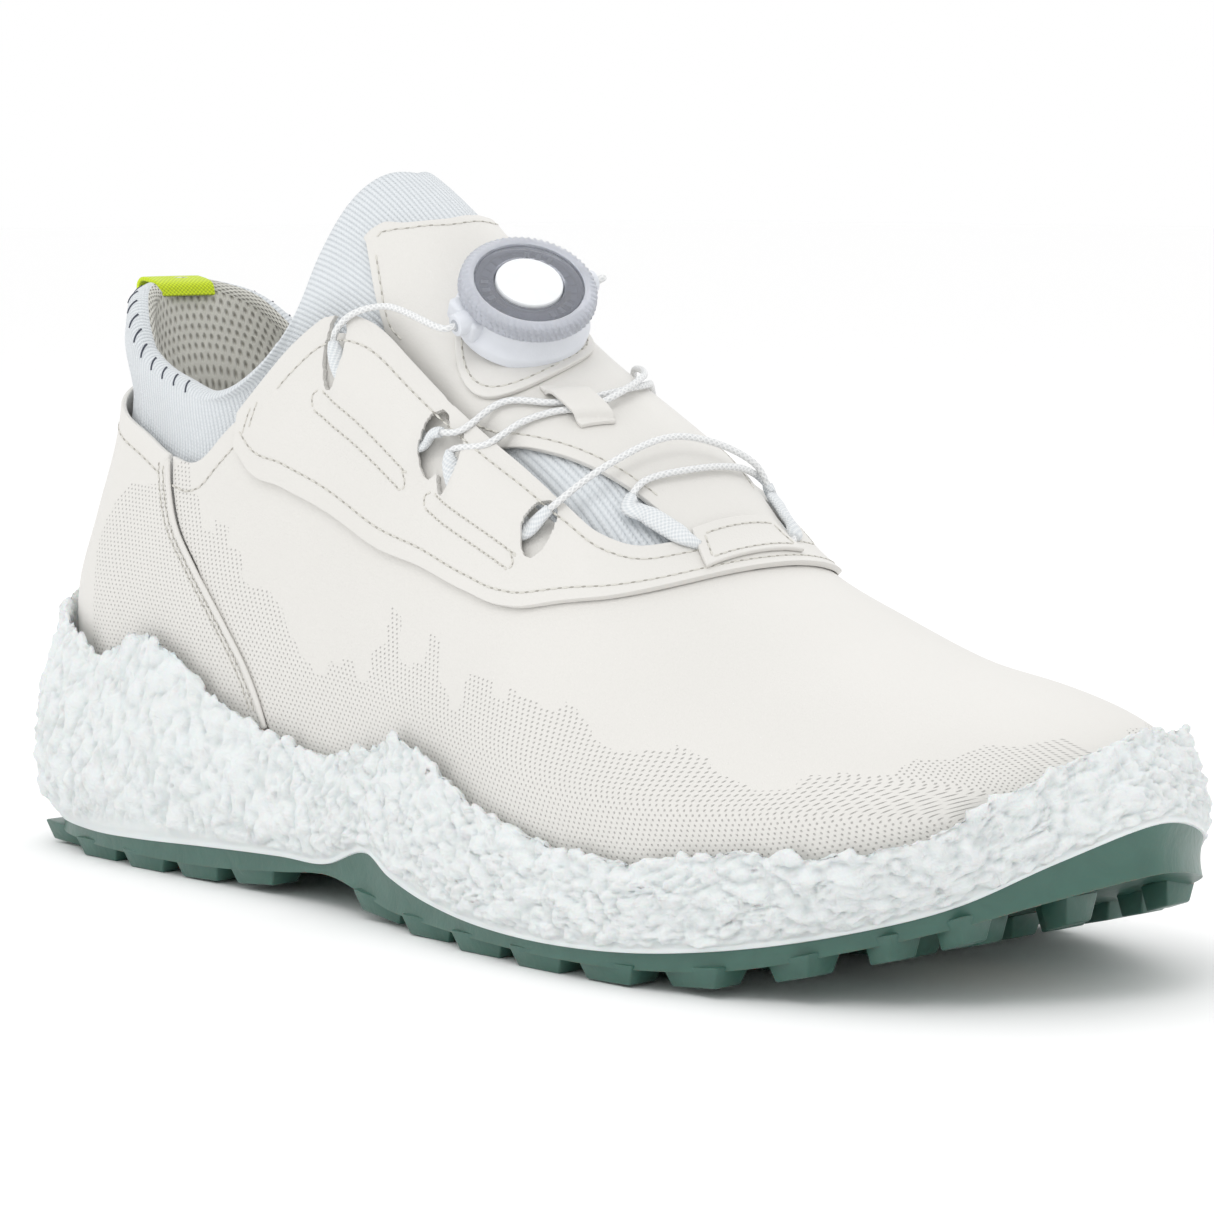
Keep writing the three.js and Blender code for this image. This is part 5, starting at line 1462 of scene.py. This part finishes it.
def turned(bm, profile, steps):
    """Adds a body turned about the dial's axis from a profile of [radius, height], mm."""
    verts = [bm.verts.new((r * MM, 0, z * MM)) for r, z in profile]
    edges = [bm.edges.new(pair) for pair in zip(verts, verts[1:])]
    bmesh.ops.spin(bm, geom=verts + edges, cent=(0, 0, 0), axis=(0, 0, 1), dvec=(0, 0, 0),
                   angle=2 * math.pi, steps=steps, use_merge=True, use_duplicate=False)
    bmesh.ops.remove_doubles(bm, verts=bm.verts, dist=0.005 * MM)
    bmesh.ops.recalc_face_normals(bm, faces=bm.faces)


def dial_piece(name, bm, material, body, replaces=()):
    """Finishes a piece modelled in the dial's own frame."""
    bmesh.ops.transform(bm, matrix=DIAL, verts=bm.verts)
    obj = piece(name, bm, MATERIALS[material], body=body, replaces=replaces, weld=0)
    obj.data.set_sharp_from_angle(angle=math.radians(35))
    return obj


class SHOE_OT_dial(bpy.types.Operator):
    """Models the ratchet dial: housing and ports, ribbed grip, smoked window and blank cap."""

    bl_idname = "shoe.dial"
    bl_label = "Dial"

    def execute(self, context):
        self.housing()
        self.grip()
        self.window()
        return {"FINISHED"}

    @staticmethod
    def housing():
        bm = bmesh.new()
        turned(bm, [[10.2, 1.4], [10.2, 4.4], [10.4, HOUSING_TOP], [12.0, HOUSING_TOP],
                    [12.35, 4.3], [12.6, 1.8], [13.6, 0.4], [14.0, -0.6], [13.6, -2.6],
                    [8.0, -2.9], [0.05, -2.9], [0.05, 1.4], [10.2, 1.4]], 96)
        for side in (-1, 1):
            barrel = bmesh.ops.create_cone(
                bm, cap_ends=True, segments=28, radius1=2.55 * MM, radius2=2.3 * MM,
                depth=6.4 * MM, matrix=Matrix.Translation((0, side * 13.6 * MM, PORT_Z * MM))
                @ Matrix.Rotation(-side * math.pi / 2, 4, "X"))["verts"]
            edges = [e for v in barrel for e in v.link_edges if e.calc_face_angle(0) > 1]
            bmesh.ops.bevel(bm, geom=list(set(edges)), offset=0.3 * MM, segments=2, profile=0.5,
                            offset_type="OFFSET", affect="EDGES", material=-1)
            shoulder = bmesh.ops.create_cube(
                bm, size=1, matrix=Matrix.Translation((-1.6 * MM, side * 12.4 * MM, 1.9 * MM))
                @ Matrix.Diagonal((9.5 * MM, 4.6 * MM, 5.0 * MM, 1)))["verts"]
            edges = list({e for v in shoulder for e in v.link_edges})
            bmesh.ops.bevel(bm, geom=edges, offset=1.0 * MM, segments=3, profile=0.5,
                            offset_type="OFFSET", affect="EDGES", material=-1)
        dial_piece("housing_shell", bm, "housing", "shoe", ["dial_housing"])
        bm = bmesh.new()
        for side in (-1, 1):
            bmesh.ops.create_cone(
                bm, cap_ends=True, segments=20, radius1=1.25 * MM, radius2=1.25 * MM,
                depth=0.3 * MM, matrix=Matrix.Translation((0, side * 16.75 * MM, PORT_Z * MM))
                @ Matrix.Rotation(-side * math.pi / 2, 4, "X"))
        dial_piece("housing_port_bores", bm, "works", "shoe")

    @staticmethod
    def grip():
        bm = bmesh.new()
        steps = GRIP_RIBS * 5
        turned(bm, [[12.4, GRIP_LOW + 0.1], [13.7, GRIP_LOW], [GRIP_RADIUS, GRIP_LOW + 0.5],
                    [GRIP_RADIUS + 0.05, 6.1], [GRIP_RADIUS, 7.0], [GRIP_RADIUS - 0.1, 7.9],
                    [GRIP_RADIUS - 0.5, 8.5], [13.0, 8.9], [12.4, GRIP_TOP], [11.8, 8.98],
                    [WINDOW_RADIUS + 0.3, 8.75], [WINDOW_RADIUS + 0.3, KNOB_LOW],
                    [12.4, GRIP_LOW + 0.1]], steps)
        for v in bm.verts:
            radius, z = math.hypot(v.co.x, v.co.y) / MM, v.co.z / MM
            if radius > 12.9 and z > GRIP_LOW + 0.05:
                turn = math.atan2(v.co.y, v.co.x) + 0.035 * (z - GRIP_LOW)
                rib = 0.5 + 0.5 * math.cos(turn * GRIP_RIBS)
                inward = 1 - 0.6 * rib**1.5 / radius
                v.co.x *= inward
                v.co.y *= inward
        dial_piece("grip_ring_ribbed", bm, "grip", "knob", ["grip_ring"])

    @staticmethod
    def window():
        bm = bmesh.new()
        turned(bm, [[CAP_RADIUS + 0.3, KNOB_LOW + 1.1], [CAP_RADIUS + 0.3, 8.35],
                    [CAP_RADIUS + 0.6, 8.6], [10.5, 8.6], [WINDOW_RADIUS, 8.4],
                    [WINDOW_RADIUS, KNOB_LOW + 1.1], [CAP_RADIUS + 0.3, KNOB_LOW + 1.1]], 96)
        dial_piece("knob_window_clear", bm, "window", "knob", ["knob_window"])
        bm = bmesh.new()
        turned(bm, [[0.0, KNOB_LOW], [CAP_RADIUS, KNOB_LOW], [CAP_RADIUS, 8.7],
                    [CAP_RADIUS - 0.15, 8.92], [CAP_RADIUS - 0.5, GRIP_TOP], [4.0, 9.06],
                    [0.0, 9.1]], 96)
        dial_piece("knob_cap_blank", bm, "cap", "knob", ["knob_cap"])
        bm = bmesh.new()
        turned(bm, [[CAP_RADIUS + 0.1, KNOB_LOW + 0.1], [10.9, KNOB_LOW + 0.1],
                    [10.9, KNOB_LOW + 0.4], [9.9, KNOB_LOW + 0.9], [9.7, KNOB_LOW + 0.3],
                    [CAP_RADIUS + 0.1, KNOB_LOW + 0.3], [CAP_RADIUS + 0.1, KNOB_LOW + 0.1]], 96)
        for k in range(24):
            turn = Matrix.Rotation(2 * math.pi * k / 24, 4, "Z")
            tall = 0.9 if k % 8 < 3 else 0.35
            bmesh.ops.create_cube(bm, size=1, matrix=turn @ Matrix.Translation(
                (8.9 * MM, 0, (KNOB_LOW + 0.3 + tall / 2) * MM)) @ Matrix.Diagonal(
                (1.5 * MM, 0.9 * MM, tall * MM, 1)))
        dial_piece("knob_inner_works", bm, "works", "knob")
        bm = bmesh.new()
        # Thin dark plates in the knob's slots: painted shade in the slots.
        for k in range(3):
            for j in range(7):
                turn = Matrix.Rotation(2 * math.pi * k / 3 + 0.35 + j * 0.095, 4, "Z")
                bmesh.ops.create_cube(bm, size=1, matrix=turn @ Matrix.Translation(
                    (8.1 * MM, 0, 7.02 * MM)) @ Matrix.Diagonal(
                    (0.9 * MM, 0.8 * MM, 0.12 * MM, 1)))
        dial_piece("knob_slots", bm, "hole_shade", "knob")


# ---------------------------------------------------------------- the lace and its guides
def on_side(side, places):
    """Points over the last at [station, height, lift] on one side of the shoe, mm."""
    u, v, lift = np.array(places, float).T
    return list(lifted(side * u, v, lift))


def dial_port(side):
    """The lace's way out of the dial on one side, mm."""
    return [np.array(DIAL @ Vector((0, side * y * MM, PORT_Z * MM))) / MM
            for y in (7.7, PORT_REACH - 4, PORT_REACH, PORT_REACH + 2.5)]


def base_guide(side):
    """The lace's points through the guide at the throat's base."""
    return on_side(side, [[194, 0.795, 2.1], [197, 0.815, 2.1], [201, 0.838, 2.1],
                          [204, 0.855, 2.1]])


def side_guide(side, name):
    """The lace's points through a guide under the facing."""
    return on_side(side, [[u, v, GUIDE_HEIGHT] for u, v in GUIDES[name]])


def lace_route():
    """The lace's route: from the dial's lateral port, twice across the tongue, round the
    throat's base and back to the medial port. The first and last point of each guide are
    listed with it."""
    route, stops = [], []

    def go(points):
        route.extend(points)

    def guide(points):
        stops.append((len(route), len(route) + len(points) - 1))
        route.extend(points)

    hook = [[128, 0.70, 4.4], [120.5, 0.65, 3.8], [117.6, 0.612, 2.8]]
    go(dial_port(-1))
    go(on_side(-1, hook))
    guide(side_guide(-1, "upper"))
    go(on_side(-1, [[149, 0.632, 3.0], [155, 0.665, 3.3], [160, 0.755, 2.7], [168, 0.82, 2.4],
                    [171.5, 0.865, 2.4], [173, 0.92, 2.5]]))
    go(on_side(1, [[172, 0.95, 2.6], [163, 0.80, 2.8], [157, 0.69, 3.3], [155, 0.632, 2.8]]))
    guide(side_guide(1, "middle"))
    go(on_side(1, [[183.5, 0.645, 2.8], [188, 0.72, 2.8], [192, 0.88, 2.8]]))
    go(on_side(-1, [[193, 0.95, 2.8], [192, 0.84, 2.6]]))
    guide(base_guide(-1))
    go(on_side(-1, [[208, 0.90, 0.9]]))
    go(on_side(1, [[209.5, 0.985, 0.9], [208, 0.91, 0.9]]))
    guide(base_guide(1)[::-1])
    go(on_side(1, [[191, 0.84, 4.4]]))
    go(on_side(-1, [[188, 0.96, 5.0], [187, 0.80, 4.6], [184, 0.67, 3.4]]))
    guide(side_guide(-1, "middle")[::-1])
    go(on_side(-1, [[155, 0.632, 3.0], [162.5, 0.68, 3.2], [166.5, 0.755, 2.6],
                    [170.3, 0.815, 2.4], [173.8, 0.865, 2.4], [175, 0.91, 3.4]]))
    go(on_side(1, [[171, 0.95, 4.0], [158, 0.80, 3.2], [151.5, 0.69, 3.3], [149, 0.632, 2.8]]))
    guide(side_guide(1, "upper")[::-1])
    go(on_side(1, hook)[::-1])
    go(dial_port(1)[::-1])
    return np.array(route), stops


class SHOE_OT_lace(bpy.types.Operator):
    """Runs the braided lace along its whole route and folds the webbing guides round it."""

    bl_idname = "shoe.lace"
    bl_label = "Lace and guides"

    def execute(self, context):
        radius = context.scene.shoe_sizes.lace / 2 / MM
        route, stops = lace_route()
        path, _ = through(route, 1100)
        bm = bmesh.new()
        swept(bm, path, radius, radius, np.tile([0.12, 0.31, 1.0], (len(path), 1)), 10)
        piece("braided_lace", bm, MATERIALS["lace"], replaces=["lace"])
        nodes = ["guide_upper_lateral", "guide_middle_medial", "guide_base_lateral",
                 "guide_base_medial", "guide_middle_lateral", "guide_upper_medial"]
        for (first, last), node in zip(stops, nodes):
            self.fold(path, route, first, last, node)
        return {"FINISHED"}

    @staticmethod
    def fold(path, route, first, last, node):
        """The webbing of one guide, flattened and drawn in where the lace comes out."""
        start, end = (int(np.argmin(np.linalg.norm(path - route[k], axis=1)))
                      for k in (first, last))
        spare = 5 if "base" in node else 13
        stretch = path[max(start - spare, 0):end + spare]
        share = np.linspace(-1, 1, len(stretch))
        wide = mix(3.0, 1.15, np.abs(share) ** 3.2)
        high = mix(0.9, 0.95, np.abs(share) ** 3)
        if "base" in node:
            wide, high = mix(2.6, 1.1, np.abs(share) ** 3), 1.05 + 0 * share
        out = stretch - [0, 0, 55.0] - LAST_ORIGIN
        out[:, 0] = 0.6
        side = np.cross(np.gradient(stretch, axis=0), out)
        bm = bmesh.new()
        swept(bm, stretch, wide, high, side, 20)
        piece(node.replace("guide", "webbing"), bm, MATERIALS["loop"], replaces=[node])


# ---------------------------------------------------------------- stitching
def seam_line(u, v, lift, count=240):
    """Even points and normals along a line of stations and heights, lifted off the last."""
    share = np.linspace(0, 1, len(u))
    fine = np.linspace(0, 1, count)
    u, v = spline(list(zip(share, u)))(fine), spline(list(zip(share, v)))(fine)
    height = lift(u, v) if callable(lift) else lift
    return lifted(u, v, np.broadcast_to(height, u.shape)), last_normal(u, v)


def ridge_line(xs, ws, lift, count=300):
    """The same for a line given by its x and w, which may cross the ridge."""
    share = np.linspace(0, 1, len(xs))
    fine = np.linspace(0, 1, count)
    u, v = over(spline(list(zip(share, xs)))(fine), spline(list(zip(share, ws)))(fine))
    return lifted(u, v, lift(u, v)), last_normal(u, v)


def on_facing(u, v):
    """Height of a stitch on the facing."""
    return facing_lift(u, v) + 0.02


class SHOE_OT_stitching(bpy.types.Operator):
    """Sews every visible seam: a thread stitch and, after each, a small dark mark that is painted
    shade of the stitch hole.
    """

    bl_idname = "shoe.stitching"
    bl_label = "Stitching"

    def execute(self, context):
        pitch = context.scene.shoe_sizes.stitch / MM
        self.thread, self.gaps = bmesh.new(), bmesh.new()
        self.template = stitch_template()
        for side in (-1, 1):
            self.collar(side, pitch)
            self.heel(side)
            self.anchors(side)
        self.facing(pitch)
        self.tongue(pitch)
        piece("seam_stitches", self.thread, MATERIALS["thread"], weld=0)
        piece("seam_stitch_hole_shade", self.gaps, MATERIALS["hole_shade"], weld=0)
        bpy.data.meshes.remove(self.template)
        return {"FINISHED"}

    def row(self, line, pitch, zigzag=0.0):
        points, normals = line
        sewn(self.thread, self.template, (points + normals * 0.02, normals), pitch,
             pitch * 0.66, 0.25, zigzag=zigzag)
        # Each gap between stitches gets a small dark mark: painted shade of the stitch hole.
        sewn(self.gaps, self.template, (points + normals * 0.01, normals), pitch,
             pitch * 0.42, 0.2, zigzag=zigzag, phase=0.5)

    def collar(self, side, pitch):
        stations = np.array([67.5, 70, 74, 79, 84, 88, 91])
        heights = edge_v(stations) - 0.028
        self.row(seam_line(side * stations, heights, 0.05), pitch)
        stations = np.linspace(-63, 0, 9) if side < 0 else np.linspace(0, 63, 9)
        self.row(seam_line(stations, edge_v(stations) - 0.026, 0.05), pitch)

    def heel(self, side):
        heights = np.linspace(0.225, 0.425, 16)
        for inset in (2.6, 4.2):
            self.row(seam_line(side * (seam_u(heights) - inset), heights, 0.05), 1.9, 24)

    def anchors(self, side):
        for start, end, low in ((114.5, 144.5, 0.520), (151.5, 181.0, 0.540)):
            lean = 0.012
            for lift in (0.0, 0.026):
                stations = np.linspace(start + 60 * lift, end + 40 * lift, 8)
                heights = low + lift + lean * np.linspace(0, 1, 8)
                self.row(seam_line(side * stations, heights, on_facing), 1.7, 20)
            for station, shift in ((start, 0.0), (end, lean)):
                stations = station + np.array([0.0, -0.6, 0.8]) * (1 if station == start else -1)
                heights = low + shift + np.array([0.001, 0.013, 0.025])
                self.row(seam_line(side * stations, heights, on_facing), 1.6)

    def facing(self, pitch):
        outer = round_throat(FACING_OUTER, FACING_OUTER_TIP)
        inner = round_throat(FACING_INNER, FACING_INNER_TIP)
        shares = np.linspace(0.004, 0.996, 700)
        span = np.linalg.norm((inner(shares) - outer(shares)) * [1, V_MM], axis=1)

        def along(inset):
            x, w = mix(outer(shares), inner(shares), (inset / span)[:, None]).T
            u, v = over(x, w)
            return lifted(u, v, facing_lift(u, v) + 0.03), last_normal(u, v)

        self.row(along(np.minimum(1.7, span * 0.45)), pitch)
        points, normals = along(span - np.minimum(2.6, span * 0.4))
        keep = slice(30, 670)
        self.row((points[keep], normals[keep]), pitch)
        for side in (-1, 1):
            stations = side * np.array([93.5, 94.5, 95.5])
            for shift in (0, 2.0):
                heights = np.array([0.458, 0.475, 0.49]) + shift * 0.004
                self.row(seam_line(stations + side * shift, heights, on_facing, 40), 2.0)

    def tongue(self, pitch):
        def raised(u, v):
            return tongue_lift(u, v) + 0.03

        widths = np.array([0.225, 0.21, 0.185, 0.15, 0.08, 0.0])
        tops = TONGUE_TOP_X(widths) + np.array([2.6, 2.0, 1.9, 1.6, 1.6, 1.6])
        xs = np.concatenate([tops, tops[::-1][1:]])
        ws = np.concatenate([-widths, widths[::-1][1:]])
        self.row(ridge_line(xs, ws, raised), pitch)
        for side in (-1, 1):
            down = np.array([-38.5, -34, -30, -26])
            self.row(ridge_line(down, side * (1 - tongue_edge(down) - 0.024), raised), pitch)
        xs = np.array([-3, 4, 12, 20, 28, 37])
        for side in (-1, 1):
            self.row(ridge_line(xs, side * (1 - tongue_edge(xs) - 0.024), raised), pitch)
        angles = np.linspace(0, 2 * math.pi, 300)
        u, v = over(PATCH_X + (PATCH_LONG - 1.5) * np.cos(angles),
                    PATCH_W + (PATCH_WIDE - 0.019) * np.sin(angles))
        self.row((lifted(u, v, raised(u, v) + PATCH_RISE), last_normal(u, v)), pitch)

        def on_patch(u, v):
            return patch_lift(np.abs(u) + LAST_BOTTOM_X) + 0.03

        rear, front = PATCH_REAR + 1.8, PATCH_FRONT - 1.2
        self.row(ridge_line([rear, rear - 0.1, rear], [-0.112, -0.02, 0.064], on_patch), 2.2)
        self.row(ridge_line([rear, 49, front], [-0.112, -0.122, -0.132], on_patch), 2.2)
        self.row(ridge_line([rear, 49, front], [0.064, 0.070, 0.076], on_patch), 2.2)
        self.row(ridge_line([front, front + 0.1, front], [-0.132, -0.03, 0.076], on_patch), 2.2)


# ---------------------------------------------------------------- hidden pieces and the stage
class SHOE_OT_inside(bpy.types.Operator):
    """Gives the pieces inside the shoe their own finishes."""

    bl_idname = "shoe.inside"
    bl_label = "Inside pieces"

    def execute(self, context):
        finishes = {
            "insole_board": "board", "heel_counter": "board", "toe_puff": "board",
            "sock_liner": "sock", "shank_plate": "steel", "centre_screw": "steel",
            "dial_spool": "works", "pawl_disc": "works",
        }
        for node, finish in finishes.items():
            obj = frame["nodes"][node]
            obj.data.materials.clear()
            obj.data.materials.append(MATERIALS[finish])
        return {"FINISHED"}


CAMERA_AZIMUTH, CAMERA_ELEVATION = 46.5, 6.0
CAMERA_DISTANCE, CAMERA_LENS = 0.850, 123.8
CAMERA_AIM = (0.008, 0.001, 0.060)  # aim to the right, upwards, and over the floor, m
# Softboxes: place, size in m, watts.
SOFTBOXES = {
    "key_softbox": ((0.35, -0.75, 1.25), 0.7, 3.6),
    "fill_softbox": ((-0.9, -0.7, 0.7), 0.9, 0.8),
    "rim_softbox": ((-0.3, 0.9, 0.9), 0.8, 1.2),
}


class SHOE_OT_stage(bpy.types.Operator):
    """Sets the pale floor, the soft studio light and the camera."""

    bl_idname = "shoe.stage"
    bl_label = "Stage"

    def execute(self, context):
        self.floor()
        self.lights(context)
        self.camera(context)
        return {"FINISHED"}

    @staticmethod
    def floor():
        material, shader = finish_of("studio_floor", Roughness=0.9, Specular_IOR_Level=0.05)
        grain = add(material, "TexNoise", {"Scale": 3.0, "Detail": 2.0})
        tone = add(material, "Mix", {"data_type": "RGBA", 0: grain, 6: linear("#fefefe"),
                                     7: linear("#ffffff")}, 2)
        dressed(material, shader, tone, None, 0.0)
        bm = bmesh.new()
        bmesh.ops.create_grid(bm, x_segments=8, y_segments=8, size=8.0)
        mesh = bpy.data.meshes.new("studio_floor")
        bm.to_mesh(mesh)
        bm.free()
        mesh.materials.append(material)
        floor = bpy.data.objects.new("studio_floor", mesh)
        bpy.context.scene.collection.objects.link(floor)

    @staticmethod
    def lights(context):
        world = context.scene.world or bpy.data.worlds.new("studio")
        context.scene.world = world
        world.use_nodes = True
        sky = world.node_tree.nodes["Background"].inputs
        sky["Color"].default_value = (1, 1, 1, 1)
        sky["Strength"].default_value = 1.0
        context.scene.view_settings.view_transform = "Standard"
        for name, (place, size, watts) in SOFTBOXES.items():
            data = bpy.data.lights.new(name, "AREA")
            data.size = size
            data.energy = watts
            lamp = bpy.data.objects.new(name, data)
            lamp.location = place
            lamp.rotation_mode = "QUATERNION"
            aim = Vector((0, 0, 0.05)) - lamp.location
            lamp.rotation_quaternion = aim.to_track_quat("-Z", "Y")
            context.scene.collection.objects.link(lamp)

    @staticmethod
    def camera(context):
        a, e = math.radians(CAMERA_AZIMUTH), math.radians(CAMERA_ELEVATION)
        back = Vector((math.sin(a) * math.cos(e), -math.cos(a) * math.cos(e), math.sin(e)))
        right = Vector((math.cos(a), math.sin(a), 0))
        up = back.cross(right)
        data = bpy.data.cameras.new("camera")
        data.sensor_width = 36
        data.lens = CAMERA_LENS
        camera = bpy.data.objects.new("camera", data)
        aside, above, height = CAMERA_AIM
        target = Vector(LAST_ORIGIN * MM) + Vector((0, 0, height))
        camera.location = target + back * CAMERA_DISTANCE + right * aside + up * above
        camera.rotation_mode = "QUATERNION"
        camera.rotation_quaternion = (-back).to_track_quat("-Z", "Y")
        context.scene.collection.objects.link(camera)
        context.scene.camera = camera


class SHOE_PT_panel(bpy.types.Panel):
    """Lists the shoe's sizes, colours and pieces."""

    bl_label = "Golf shoe"
    bl_idname = "SHOE_PT_panel"
    bl_space_type = "VIEW_3D"
    bl_region_type = "UI"
    bl_category = "Shoe"

    def draw(self, context):
        for group in (context.scene.shoe_sizes, context.scene.shoe_colours):
            box = self.layout.box()
            for name in group.__annotations__:
                box.prop(group, name)
        for operator in PIECES:
            self.layout.operator(operator.bl_idname)


PIECES = (SHOE_OT_stage, SHOE_OT_upper, SHOE_OT_facing, SHOE_OT_tongue, SHOE_OT_collar,
          SHOE_OT_pull_tab, SHOE_OT_foam, SHOE_OT_outsole, SHOE_OT_dial, SHOE_OT_lace,
          SHOE_OT_stitching, SHOE_OT_inside)
CLASSES = (ShoeSizes, ShoeColours, *PIECES, SHOE_PT_panel)


def register():
    for cls in CLASSES:
        bpy.utils.register_class(cls)
    bpy.types.Scene.shoe_sizes = PointerProperty(type=ShoeSizes)
    bpy.types.Scene.shoe_colours = PointerProperty(type=ShoeColours)


def unregister():
    del bpy.types.Scene.shoe_sizes
    del bpy.types.Scene.shoe_colours
    for cls in reversed(CLASSES):
        bpy.utils.unregister_class(cls)


def main():
    register()
    make_materials(bpy.context.scene.shoe_colours)
    for operator in PIECES:
        category, name = operator.bl_idname.split(".")
        getattr(getattr(bpy.ops, category), name)()
    bpy.context.view_layer.update()


if __name__ == "__main__":
    main()
